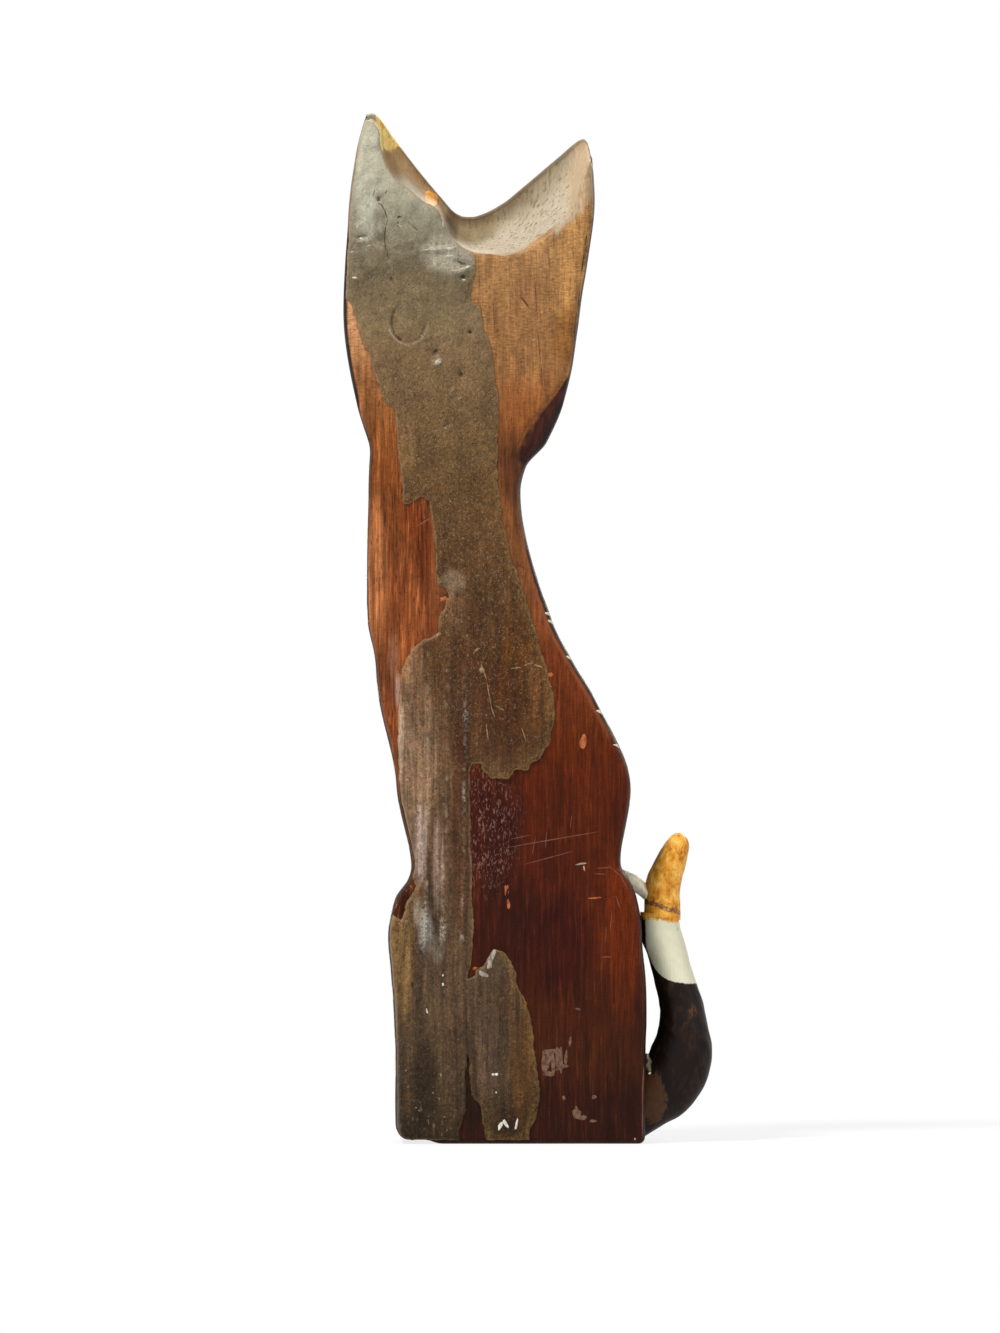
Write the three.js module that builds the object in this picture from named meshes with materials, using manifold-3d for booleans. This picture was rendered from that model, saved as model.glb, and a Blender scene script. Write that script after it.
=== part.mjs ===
// Carved wooden cat, seated, with a separate tail pegged and glued to its right flank.
// Millimetres, +Z up. The cat faces -Y, its left side is at +X and its right side at -X.
// The origin is the middle of the flat underside.

import * as THREE from 'three';
import { mergeVertices } from 'three/addons/utils/BufferGeometryUtils.js';
import Module from 'manifold-3d';

const wasm = await Module();
wasm.setup();
const { lerp, smoothstep } = THREE.MathUtils;

// Levels of the block, from the underside up. Each level has its rise above the level below it,
// the width of the block there, how far its middle leans to the cat's left
// and how far its front stands before the block's middle plane.
const BASE = { rise: 0, width: 72.2, lean: 0, front: 21 };
const SEAT = { rise: 34, width: 73, lean: 0, front: 21 };
const HAUNCH = { rise: 26, width: 73.5, lean: 1.5, front: 20.5 };
const HIP = { rise: 11, width: 69.8, lean: 1.3, front: 20 };
const WAIST = { rise: 10, width: 60.5, lean: 1.25, front: 19.5 };
const FLANK = { rise: 23.5, width: 67.9, lean: 2.05, front: 20 };
const SHOULDER = { rise: 23.5, width: 62.9, lean: 9.2, front: 19.5 };
const WITHERS = { rise: 24, width: 53.2, lean: 17.6, front: 17 };
const THROAT = { rise: 38, width: 43.9, lean: 22.35, front: 13 };
const NAPE = { rise: 14.5, width: 51.5, lean: 18.35, front: 14 };
const JAW = { rise: 11.5, width: 60.2, lean: 17.7, front: 18 };
const CHEEK = { rise: 24, width: 68.1, lean: 17.35, front: 20 };
const CROWN = { rise: 30, width: 71.2, lean: 14.4, front: 14 };
const EAR = { rise: 18, width: 68.5, lean: 13.65, front: 7 };
const TIP = { rise: 12, width: 62.6, lean: 13.3, front: 2 };

// Faces and edges of the block.
const BACK_DEPTH = 20;
const BACK_ROUND = 3;
const FRONT_ROUND = 9;
const BASE_ROUND = 1.8;
const JAW_CHAMFER = { rise: 6, tall: 16, round: 8 };

// Low cut under the left corner of the base.
const UNDERCUT = { width: 9.5, rise: 1.6 };

// Ears. The notch stands over the cheek level and each ear tip over the notch.
const NOTCH = { rise: 26.3, lean: 14.9, round: 3.7 };
const LEFT_EAR = { rise: 34.6, reach: 28.8 };
const RIGHT_EAR = { rise: 27.6, reach: 34.4 };
const TIP_ROUND = 1.5;
const EAR_EDGE = 3;

// Height of the gouged scoop under the top edge, at shares of the width from the left ear.
const SCOOP_SHARES = [0, 0.375, 0.45, 0.53, 0.79, 1];
const SCOOP_HEIGHTS = [2.5, 5.2, 9.9, 9.9, 20, 6];
const SCOOP_HOLLOW = 3;

// Relief carved on the front. Each form has its rise over a level, its offset from the middle,
// its half width, its half height and how far it stands proud. Forms of the head also tilt,
// by their rise for each millimetre towards the left ear.
const FACE_TILT = 0.1;
const MUZZLE = { over: CHEEK, rise: -14, offset: 0, half: 20, tall: 15, proud: 7, tilt: FACE_TILT };
const NOSE_BRIDGE = { over: CHEEK, rise: 2, offset: 0, half: 10, tall: 26, proud: 3, tilt: FACE_TILT };
const EYE_HOLLOW = { over: CHEEK, rise: 9, offset: 17, half: 13, tall: 12, proud: -1.5, tilt: FACE_TILT };
const CHEST = { over: FLANK, rise: 24, offset: 0, half: 25, tall: 56, proud: 4 };
const FORELEG = { over: SEAT, rise: 8, offset: 12.5, half: 12, tall: 72, proud: 5 };
const PAW = { over: BASE, rise: 4, offset: 14, half: 14, tall: 15, proud: 7 };
const THIGH = { over: SEAT, rise: 0, offset: 30, half: 14, tall: 36, proud: 4 };

// Tail. Each station has its height, its reach outwards from the flank at that height
// and the half width of the limb.
const TAIL_ROOT = { height: 10.5, reach: -5, half: 7.4 };
const TAIL_FOOT = { height: 14.5, reach: 5.6, half: 7.4 };
const TAIL_BEND = { height: 20.3, reach: 10, half: 7.6 };
const TAIL_BELLY = { height: 30, reach: 10.9, half: 7.6 };
const TAIL_RISE = { height: 43, reach: 9.7, half: 6.1 };
const TAIL_NECK = { height: 53, reach: 7.8, half: 5.5 };
const TAIL_TOUCH = { height: 61.5, half: 5.4 };
const TAIL_SEAM = { height: 67.5, reach: 6.5, half: 5.2 };
const TAIL_LEAN = { height: 74.5, reach: 9.3, half: 5.2 };
const TAIL_CURL = { height: 81.5, reach: 14.7, half: 4.5 };
const TAIL_END = { height: 90.1, reach: 16.6, half: 3.4 };
const TAIL_POINT = 0.1;
const TAIL_SET_BACK = 4;
const TAIL_FLATNESS = 0.92;
const TAIL_SIDES = 22;

// Dowel of the tail's foot, pin of the tail's tip and their clearance in the bores.
const FOOT_DOWEL = { height: 12.5, radius: 2.5, inBody: 14, inTail: 8 };
const TIP_PIN = { radius: 1.2, half: 6 };
const BORE_CLEARANCE = 0.2;
const BORE_END = 0.6;

// Glue. Each lump has its height, its reach from the flank and its half sizes.
const GLUE_LINE = 0.35;
const UPPER_GLUE = { height: 74, reach: 2.6, half: 6, tall: 6, deep: 5 };
const FOOT_GLUE = { height: 25, reach: 1.3, half: 2.6, tall: 4.6, deep: 4.5 };

// Bark skin on the back. Each row has the level under it, its rise over that level
// and its margins from the block's left and right edges.
const SKIN_SEAT = 0.3;
const SKIN_THICKNESS = 0.8;
const MAIN_SKIN = [
  [BASE, 2.6, 1.6, 54.2],
  [BASE, 24.4, 1.6, 52],
  [SEAT, 22.5, 1.6, 49.7],
  [HIP, 5.8, 1.6, 45.2],
  [WAIST, 19.1, 1.8, 46.5],
  [FLANK, 3.7, 1.9, 45.7],
  [FLANK, 5.8, 2.1, 28.5],
  [FLANK, 11.6, 2.9, 20.3],
  [FLANK, 21.8, 4.4, 13.2],
  [SHOULDER, 9.3, 7.8, 9.2],
  [SHOULDER, 16.3, 12, 7],
  [SHOULDER, 19.8, 18.2, 6.1],
  [WITHERS, 10.7, 20.8, 4.8],
  [WITHERS, 34, 17.8, 5.7],
  [WITHERS, 35.5, 9.8, 5.9],
  [THROAT, 10.5, 8.3, 12.1],
  [NAPE, 5.3, 9.6, 16.7],
  [JAW, 4, 7.6, 20.8],
  [JAW, 19.4, 2.3, 26.2],
  [CHEEK, 5.6, 1.6, 29.8],
  [CHEEK, 18.7, 1.6, 34],
  [CHEEK, 23, 1.6, 41.4],
  [CROWN, 0.6, 1.6, 45.4],
  [CROWN, 16.3, 1.6, 57.4],
  [EAR, 4.7, 1.6, 61],
];

// The lower flake's rows start a gap away from the main skin's right border.
const LOWER_SKIN = [
  [BASE, 1.7, 8.1, 33.2],
  [BASE, 11.1, 5.6, 31.3],
  [BASE, 18.6, 2.2, 30.9],
  [BASE, 33.2, 1.2, 33],
  [SEAT, 12.3, 1.2, 36.8],
  [SEAT, 17.2, 2.4, 37.3],
  [SEAT, 21, 4.9, 39.6],
  [SEAT, 22.9, 6.1, 42.1],
];

// Finish of the pieces.
const WOOD = { color: 0x6b3a20, roughness: 0.45, metalness: 0 };
const BLACK_PAINT = { color: 0x241a17, roughness: 0.4, metalness: 0 };
const GOLD_PAINT = { color: 0xd99a3c, roughness: 0.5, metalness: 0 };
const BARK = { color: 0x6a5d47, roughness: 0.75, metalness: 0 };
const GLUE = { color: 0xa79c88, roughness: 0.5, metalness: 0 };
const RAW_WOOD = { color: 0xb98d5c, roughness: 0.7, metalness: 0 };

// Smoothness of the faceted surfaces.
const ACROSS = 30;
const UP = 50;
const ROW_CROWDING = 0.35;
const UNDER_ROWS = [0, 0.3, 1];
const SCOOP_ROWS = [0.12, 0.25, 0.42, 0.62, 0.82, 1];
const TAIL_RINGS = 36;
const TIP_RINGS = 16;
const SKIN_ACROSS = 8;
const SKIN_STEP = 6;
const PEG_SIDES = 24;
const LUMP_SIDES = 24;
const LUMP_RINGS = 16;
const SETTLING_TURNS = 40;
const MERGE_DISTANCE = 0.0001;

// Curve through (place, value) pairs that neither overshoots a peak nor dips under a hollow.
// It runs on straight past its ends.
function smoothThrough(places, values) {
  const last = places.length - 1;
  const steps = places.slice(1).map((place, i) => place - places[i]);
  const slopes = steps.map((step, i) => (values[i + 1] - values[i]) / step);
  const tangents = values.map((_, i) => {
    if (i === 0 || i === last) return slopes[Math.min(i, last - 1)];
    if (slopes[i - 1] * slopes[i] <= 0) return 0;
    const near = 2 * steps[i] + steps[i - 1];
    const far = steps[i] + 2 * steps[i - 1];
    return (near + far) / (near / slopes[i - 1] + far / slopes[i]);
  });
  return (place) => {
    if (place <= places[0]) return values[0] + tangents[0] * (place - places[0]);
    if (place >= places[last]) return values[last] + tangents[last] * (place - places[last]);
    const i = places.findIndex((edge) => edge > place) - 1;
    const t = (place - places[i]) / steps[i];
    const start = values[i] * (1 + 2 * t) + tangents[i] * steps[i] * t;
    const end = values[i + 1] * (3 - 2 * t) + tangents[i + 1] * steps[i] * (t - 1);
    return start * (1 - t) ** 2 + end * t ** 2;
  };
}

const smoothMax = (a, b, round) => (a + b + Math.hypot(a - b, 2 * round)) / 2;
const smoothMin = (a, b, round) => (a + b - Math.hypot(a - b, 2 * round)) / 2;

// Drop of a quarter-round edge at a distance inside it.
function edgeDrop(distance, round) {
  const inside = Math.max(0, Math.min(distance, round));
  return round - Math.sqrt(round ** 2 - (round - inside) ** 2);
}

// Outline of the block.
const LEVELS = [
  BASE, SEAT, HAUNCH, HIP, WAIST, FLANK, SHOULDER, WITHERS,
  THROAT, NAPE, JAW, CHEEK, CROWN, EAR, TIP,
];
const levelHeights = LEVELS.map((_, i) => {
  const upToHere = LEVELS.slice(0, i + 1);
  return upToHere.reduce((sum, level) => sum + level.rise, 0);
});
const heightOf = (level) => levelHeights[LEVELS.indexOf(level)];
const widthAt = smoothThrough(levelHeights, LEVELS.map((level) => level.width));
const leanAt = smoothThrough(levelHeights, LEVELS.map((level) => level.lean));
const frontAt = smoothThrough(levelHeights, LEVELS.map((level) => level.front));
const scoopAt = smoothThrough(SCOOP_SHARES, SCOOP_HEIGHTS);
const leftEdge = (z) => leanAt(z) + widthAt(z) / 2;
const rightEdge = (z) => leanAt(z) - widthAt(z) / 2;

// Top edge over a place across the block: two ear slopes that meet in the rounded notch.
const notchHeight = heightOf(CHEEK) + NOTCH.rise;
function topEdge(x) {
  const aside = x - NOTCH.lean;
  const left = notchHeight + aside * LEFT_EAR.rise / LEFT_EAR.reach;
  const right = notchHeight - aside * RIGHT_EAR.rise / RIGHT_EAR.reach;
  const tip = notchHeight + (aside > 0 ? LEFT_EAR.rise : RIGHT_EAR.rise);
  return smoothMin(smoothMax(left, right, NOTCH.round), tip, TIP_ROUND);
}

// Height of the top edge at a share of the width, found by settling x and z together.
function topAt(share) {
  let z = notchHeight;
  for (let turn = 0; turn < SETTLING_TURNS; turn += 1) {
    const x = leftEdge(z) - share * widthAt(z);
    z = (z + topEdge(x)) / 2;
  }
  return z;
}

// Rounding of the back's right edge, widened to a chamfer under the jaw.
function rightRound(z) {
  const away = (z - heightOf(NAPE) - JAW_CHAMFER.rise) / JAW_CHAMFER.tall;
  return BACK_ROUND + (JAW_CHAMFER.round - BACK_ROUND) * Math.max(0, 1 - away ** 2);
}

// Depth of the back face, before the scoop is cut.
function backFace(x, z) {
  const fromLeft = edgeDrop(leftEdge(z) - x, BACK_ROUND);
  const fromRight = edgeDrop(x - rightEdge(z), rightRound(z));
  return BACK_DEPTH - Math.max(fromLeft, fromRight);
}

// Carved form of the front: a domed swell or hollow with an oval foot.
function swell(form, side, x, z) {
  const aside = x - leanAt(z);
  const across = (aside - side * form.offset) / form.half;
  const up = (z - heightOf(form.over) - form.rise - aside * (form.tilt ?? 0)) / form.tall;
  return form.proud * smoothstep(1 - across ** 2 - up ** 2, 0, 1);
}

function frontFace(x, z) {
  const single = [MUZZLE, NOSE_BRIDGE, CHEST].map((form) => swell(form, 0, x, z));
  const paired = [EYE_HOLLOW, FORELEG, PAW, THIGH].flatMap((form) => [
    swell(form, 1, x, z),
    swell(form, -1, x, z),
  ]);
  const relief = [...single, ...paired].reduce((sum, proud) => sum + proud, 0);
  const round = edgeDrop(Math.min(leftEdge(z) - x, x - rightEdge(z)), FRONT_ROUND);
  return round - frontAt(z) - relief;
}

// Closed solid between two faces that share a grid of places (x, z): across from left to right
// and up row by row. place(i, j) gives x, z and the depths of the back and the front.
function slab(across, up, place) {
  const points = [];
  const faces = [];
  const quad = (a, b, c, d) => faces.push(a, b, c, a, c, d);
  const back = (i, j) => 2 * (j * (across + 1) + i);
  const front = (i, j) => back(i, j) + 1;
  for (let j = 0; j <= up; j += 1) {
    for (let i = 0; i <= across; i += 1) {
      const spot = place(i, j);
      points.push(spot.x, spot.back, spot.z, spot.x, spot.front, spot.z);
    }
  }
  for (let j = 0; j < up; j += 1) {
    for (let i = 0; i < across; i += 1) {
      quad(back(i, j), back(i + 1, j), back(i + 1, j + 1), back(i, j + 1));
      quad(front(i, j), front(i, j + 1), front(i + 1, j + 1), front(i + 1, j));
    }
    quad(front(0, j), back(0, j), back(0, j + 1), front(0, j + 1));
    quad(back(across, j), front(across, j), front(across, j + 1), back(across, j + 1));
  }
  for (let i = 0; i < across; i += 1) {
    quad(back(i, 0), front(i, 0), front(i + 1, 0), back(i + 1, 0));
    quad(back(i, up), back(i + 1, up), front(i + 1, up), front(i, up));
  }
  const geometry = new THREE.BufferGeometry();
  geometry.setAttribute('position', new THREE.Float32BufferAttribute(points, 3));
  geometry.setIndex(faces);
  return solidOf(geometry);
}

// Solid of a closed geometry, ready to be joined or cut.
function solidOf(geometry) {
  geometry.deleteAttribute('normal');
  geometry.deleteAttribute('uv');
  const merged = mergeVertices(geometry, MERGE_DISTANCE);
  const vertProperties = new Float32Array(merged.attributes.position.array);
  const triVerts = new Uint32Array(merged.index.array);
  return new wasm.Manifold(new wasm.Mesh({ numProp: 3, vertProperties, triVerts }));
}

// The carved block, with its rows crowded towards the paws and the head.
// A grown block stands off its own sides by a clearance.
function block(grow) {
  const rowCount = UP + SCOOP_ROWS.length;
  const underRows = UNDER_ROWS.map((row) => row * BASE_ROUND);
  return slab(ACROSS, rowCount, (i, j) => {
    const share = 0.5 - 0.5 * Math.cos(Math.PI * i / ACROSS);
    const past = smoothstep(share * BASE.width, UNDERCUT.width / 2, UNDERCUT.width);
    const foot = UNDERCUT.rise * (1 - past);
    const top = topAt(share);
    const scoop = scoopAt(share);
    const under = underRows[Math.min(j, underRows.length - 1)];
    const even = Math.min(1, Math.max(0, j - underRows.length + 1) / (UP - underRows.length + 1));
    const climb = even - ROW_CROWDING * Math.sin(2 * Math.PI * even) / (2 * Math.PI);
    const lower = foot + under + (top - scoop - foot - BASE_ROUND) * climb;
    const lift = j > UP ? SCOOP_ROWS[j - UP - 1] : 0;
    const z = lower + lift * scoop;
    const inset = edgeDrop(z - foot, BASE_ROUND) - grow;
    const x = leftEdge(z) - inset - share * (widthAt(z) - 2 * inset);
    const front = frontFace(x, z);
    const edge = front + EAR_EDGE;
    const back = edge + (backFace(x, z) - edge) * (1 - lift) ** SCOOP_HOLLOW;
    return { x, z, back: back - inset, front: front + inset };
  });
}

// Marked row of a skin as its height and its left and right borders.
function mainMark([over, rise, left, right]) {
  const z = heightOf(over) + rise;
  return { z, left: leftEdge(z) - left, right: rightEdge(z) + right };
}

// Rows of a skin at even small steps between its marked rows.
// Between two marks the border keeps an even margin from the block's edge.
function skinRows(marks) {
  const between = marks.slice(1).flatMap((next, i) => {
    const mark = marks[i];
    const count = Math.ceil((next.z - mark.z) / SKIN_STEP);
    return Array.from({ length: count }, (_, k) => {
      const z = lerp(mark.z, next.z, k / count);
      const left = lerp(leftEdge(mark.z) - mark.left, leftEdge(next.z) - next.left, k / count);
      const right = lerp(mark.right - rightEdge(mark.z), next.right - rightEdge(next.z), k / count);
      return { z, left: leftEdge(z) - left, right: rightEdge(z) + right };
    });
  });
  return [...between, marks.at(-1)];
}

// Marked row of the lower flake, beside the main skin's nearest row.
function lowerMark([over, rise, gap, right]) {
  const z = heightOf(over) + rise;
  const near = mainRows.reduce((best, row) => {
    const nearer = Math.abs(row.z - z) < Math.abs(best.z - z);
    return nearer ? row : best;
  });
  return { z, left: near.right - gap, right: rightEdge(z) + right };
}

// Thin layer on the back, row by row between its borders.
function skin(rows) {
  return slab(SKIN_ACROSS, rows.length - 1, (i, j) => {
    const { z, left, right } = rows[j];
    const x = lerp(left, right, i / SKIN_ACROSS);
    const seat = backFace(x, z) + SKIN_SEAT;
    return { x, z, back: seat + SKIN_THICKNESS, front: seat };
  });
}

const mainRows = skinRows(MAIN_SKIN.map(mainMark));
const lowerRows = skinRows(LOWER_SKIN.map(lowerMark));

// The tail's middle line beside the flank.
const TAIL = [
  TAIL_ROOT, TAIL_FOOT, TAIL_BEND, TAIL_BELLY, TAIL_RISE, TAIL_NECK,
  TAIL_TOUCH, TAIL_SEAM, TAIL_LEAN, TAIL_CURL, TAIL_END,
];
const tailReach = (station) => station.reach ?? station.half + GLUE_LINE;
const tailPoint = (station) => new THREE.Vector3(
  rightEdge(station.height) - tailReach(station),
  TAIL_SET_BACK,
  station.height,
);
const tailLine = new THREE.CatmullRomCurve3(TAIL.map(tailPoint));
const tailShare = (station) => TAIL.indexOf(station) / (TAIL.length - 1);
const tailHalf = smoothThrough(TAIL.map(tailShare), TAIL.map((station) => station.half));
const curlShare = tailShare(TAIL_CURL);

// Half width near the free end, drawn in to a rounded point.
function roundedHalf(share) {
  const past = Math.max(0, share - curlShare) / (1 - curlShare);
  return tailHalf(share) * Math.sqrt(1 - past ** 2);
}

// Solid of the tail between two shares of its line, as rings closed by a fan at each end.
function limb(from, to, rings, grow) {
  const points = [];
  const faces = [];
  for (let j = 0; j <= rings; j += 1) {
    const even = j / rings;
    const share = from + (to - from) * (to === 1 ? Math.sin(even * Math.PI / 2) : even);
    const middle = tailLine.getPoint(share);
    const run = tailLine.getTangent(share);
    const half = Math.max(roundedHalf(share), TAIL_POINT) + grow;
    for (let i = 0; i < TAIL_SIDES; i += 1) {
      const angle = 2 * Math.PI * i / TAIL_SIDES;
      const aside = half * Math.cos(angle);
      const deep = half * TAIL_FLATNESS * Math.sin(angle);
      points.push(middle.x + aside * run.z, middle.y + deep, middle.z - aside * run.x);
    }
  }
  const ring = (i, j) => j * TAIL_SIDES + i % TAIL_SIDES;
  for (let j = 0; j < rings; j += 1) {
    for (let i = 0; i < TAIL_SIDES; i += 1) {
      faces.push(ring(i, j), ring(i + 1, j), ring(i + 1, j + 1));
      faces.push(ring(i, j), ring(i + 1, j + 1), ring(i, j + 1));
    }
  }
  for (let i = 1; i < TAIL_SIDES - 1; i += 1) {
    faces.push(ring(0, 0), ring(i + 1, 0), ring(i, 0));
    faces.push(ring(0, rings), ring(i, rings), ring(i + 1, rings));
  }
  const geometry = new THREE.BufferGeometry();
  geometry.setAttribute('position', new THREE.Float32BufferAttribute(points, 3));
  geometry.setIndex(faces);
  return solidOf(geometry);
}

// Round peg along a direction through a middle point.
function peg(middle, direction, radius, length) {
  const geometry = new THREE.CylinderGeometry(radius, radius, length, PEG_SIDES);
  const turn = new THREE.Quaternion().setFromUnitVectors(new THREE.Vector3(0, 1, 0), direction);
  geometry.applyQuaternion(turn);
  geometry.translate(middle.x, middle.y, middle.z);
  return solidOf(geometry);
}

// Lump of glue between the flank and the tail.
function lump(glue) {
  const geometry = new THREE.SphereGeometry(1, LUMP_SIDES, LUMP_RINGS);
  geometry.scale(glue.half, glue.deep, glue.tall);
  geometry.translate(rightEdge(glue.height) - glue.reach, TAIL_SET_BACK, glue.height);
  return solidOf(geometry);
}

// Bores and pegs.
const footOuter = rightEdge(FOOT_DOWEL.height) - FOOT_DOWEL.inTail;
const footInner = rightEdge(FOOT_DOWEL.height) + FOOT_DOWEL.inBody;
const footMiddle = new THREE.Vector3((footOuter + footInner) / 2, TAIL_SET_BACK, FOOT_DOWEL.height);
const footLength = footInner - footOuter;
const acrossBody = new THREE.Vector3(1, 0, 0);
const footDowel = peg(footMiddle, acrossBody, FOOT_DOWEL.radius, footLength);
const footBore = peg(footMiddle, acrossBody, FOOT_DOWEL.radius + BORE_CLEARANCE, footLength + 2 * BORE_END);
const seamShare = tailShare(TAIL_SEAM);
const seamMiddle = tailLine.getPoint(seamShare);
const seamRun = tailLine.getTangent(seamShare);
const tipPin = peg(seamMiddle, seamRun, TIP_PIN.radius, 2 * TIP_PIN.half);
const tipBore = peg(seamMiddle, seamRun, TIP_PIN.radius + BORE_CLEARANCE, 2 * (TIP_PIN.half + BORE_END));

// Pieces. The tail ends a glue line short of the seam and its tip starts at the seam.
const seamPitch = tailPoint(TAIL_SEAM).distanceTo(tailPoint(TAIL_TOUCH)) * (TAIL.length - 1);
const tailTop = seamShare - GLUE_LINE / seamPitch;
const grownBlock = block(GLUE_LINE);
const grownTail = limb(0, 1, TAIL_RINGS + TIP_RINGS, GLUE_LINE);
const body = block(0).subtract(footBore);
const tail = limb(0, tailTop, TAIL_RINGS, 0).subtract(grownBlock).subtract(footBore).subtract(tipBore);
const tailTip = limb(seamShare, 1, TIP_RINGS, 0).subtract(grownBlock).subtract(tipBore);
const upperGlue = lump(UPPER_GLUE).subtract(grownBlock).subtract(grownTail);
const footGlue = lump(FOOT_GLUE).subtract(grownBlock).subtract(grownTail);

// Named mesh of a solid in its finish.
function piece(name, solid, finish) {
  const { vertProperties, triVerts } = solid.getMesh();
  const geometry = new THREE.BufferGeometry();
  geometry.setAttribute('position', new THREE.BufferAttribute(new Float32Array(vertProperties), 3));
  geometry.setIndex(new THREE.BufferAttribute(new Uint32Array(triVerts), 1));
  geometry.computeVertexNormals();
  const mesh = new THREE.Mesh(geometry, new THREE.MeshStandardMaterial(finish));
  mesh.name = name;
  return mesh;
}

const cat = new THREE.Group();
cat.name = 'wooden_cat';
cat.add(
  piece('body', body, WOOD),
  piece('tail', tail, BLACK_PAINT),
  piece('tail_tip', tailTip, GOLD_PAINT),
  piece('foot_dowel', footDowel, RAW_WOOD),
  piece('tip_pin', tipPin, RAW_WOOD),
  piece('upper_glue_bead', upperGlue, GLUE),
  piece('foot_glue_fillet', footGlue, GLUE),
  piece('bark_skin_main', skin(mainRows), BARK),
  piece('bark_skin_lower', skin(lowerRows), BARK),
);

export default cat;
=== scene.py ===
# %% [markdown]
# A carved wooden cat, seen from behind. The real one is an upright block of dark wood, cut to a cat's
# outline and painted black on its face and sides. Its back was left as bare wood, with a skin of bark
# still on it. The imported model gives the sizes, and every surface here is worked out around it in numpy.

import bpy
import numpy as np
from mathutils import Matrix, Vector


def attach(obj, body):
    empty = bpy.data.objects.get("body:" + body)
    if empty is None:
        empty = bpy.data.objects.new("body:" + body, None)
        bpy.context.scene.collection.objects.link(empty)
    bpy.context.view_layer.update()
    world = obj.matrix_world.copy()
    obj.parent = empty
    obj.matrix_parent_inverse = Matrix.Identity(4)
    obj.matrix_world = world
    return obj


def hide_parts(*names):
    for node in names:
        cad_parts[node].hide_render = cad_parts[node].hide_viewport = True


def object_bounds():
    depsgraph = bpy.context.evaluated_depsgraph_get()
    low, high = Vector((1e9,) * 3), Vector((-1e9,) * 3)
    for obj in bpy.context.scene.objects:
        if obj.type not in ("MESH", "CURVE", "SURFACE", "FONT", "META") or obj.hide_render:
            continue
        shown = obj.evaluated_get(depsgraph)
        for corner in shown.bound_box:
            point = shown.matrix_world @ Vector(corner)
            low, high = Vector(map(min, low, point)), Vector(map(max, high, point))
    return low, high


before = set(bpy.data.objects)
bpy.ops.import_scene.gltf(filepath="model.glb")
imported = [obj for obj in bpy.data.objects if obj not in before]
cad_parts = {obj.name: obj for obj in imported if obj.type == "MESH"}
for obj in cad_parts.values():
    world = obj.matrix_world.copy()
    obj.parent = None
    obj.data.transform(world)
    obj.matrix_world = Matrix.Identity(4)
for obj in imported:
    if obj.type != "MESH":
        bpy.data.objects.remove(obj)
cad_low, cad_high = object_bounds()
MM = 0.001
cat_height = (cad_high.z - cad_low.z) / MM
print(f"frame: {len(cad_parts)} nodes, {cat_height:.1f} mm tall")

# %% [markdown]
# Many marks on the back, such as the bark's broken border, were placed on the photograph. Keeping
# them as picture places and turning them into millimetres here keeps them easy to compare with it. The
# scale is the cat's height between the tip of its taller ear and its base.

# %% From picture places to millimetres
PHOTO_WIDTH, PHOTO_HEIGHT = 1000, 1333
EAR_TIP_ROW = 113
BASE_ROW = 1144
MIDDLE_COLUMN = 520.5
mm_per_pixel = cat_height / (BASE_ROW - EAR_TIP_ROW)


def from_photo(column, row):
    """Place on the back plane, in mm: x is counted from the middle column to the picture's left,
    z from the base row upwards."""
    x = (MIDDLE_COLUMN - np.asarray(column, float)) * mm_per_pixel
    z = (BASE_ROW - np.asarray(row, float)) * mm_per_pixel
    return x, z


print(f"scale: {mm_per_pixel:.4f} mm for each pixel")

# %% [markdown]
# A carver works from a few marks on the block and joins them by eye. A curve that passes through marks
# without overshooting does the same: cubic pieces whose slopes are the harmonic mean of their neighbours'.
# A spline would be shorter to write, but it swings past narrow places such as the neck.

# %% Curve through marks


def smooth_through(places, values):
    """Curve through (place, value) marks. Each piece is a cubic; the slope at a mark is the harmonic
    mean of the slopes beside it, or level where they change sign. Past its ends it runs on straight."""
    places, values = np.asarray(places, float), np.asarray(values, float)
    steps = np.diff(places)
    slopes = np.diff(values) / steps
    near = 2 * steps[1:] + steps[:-1]
    far = steps[1:] + 2 * steps[:-1]
    same_way = slopes[:-1] * slopes[1:] > 0
    before, after = np.where(same_way, slopes[:-1], 1), np.where(same_way, slopes[1:], 1)
    inner = np.where(same_way, (near + far) / (near / before + far / after), 0)
    tangents = np.concatenate([slopes[:1], inner, slopes[-1:]])

    def curve(place):
        place = np.asarray(place, float)
        i = np.clip(np.searchsorted(places, place, side="right") - 1, 0, len(steps) - 1)
        t = np.clip((place - places[i]) / steps[i], 0, 1)
        start = values[i] * (1 + 2 * t) + tangents[i] * steps[i] * t
        end = values[i + 1] * (3 - 2 * t) + tangents[i + 1] * steps[i] * (t - 1)
        under = np.minimum(place - places[0], 0) * tangents[0]
        over = np.maximum(place - places[-1], 0) * tangents[-1]
        return start * (1 - t) ** 2 + end * t ** 2 + under + over

    return curve


def smooth_step(low, high, value):
    """Zero below low, one above high, and 3t^2 - 2t^3 between them."""
    t = np.clip((value - low) / (high - low), 0, 1)
    return t * t * (3 - 2 * t)


print("curve: half way between marks 0 and 1 it reads", float(smooth_through([0, 1, 2], [0, 1, 1])(0.5)))

# %% [markdown]
# Nothing cut by hand is even. Soft random hills stand for the knife's waver, the bark's lumps and ragged
# borders. Blender has noise textures for this, but a small numpy noise moves real vertices and always gives
# the same heights.

# %% Soft random hills


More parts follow.
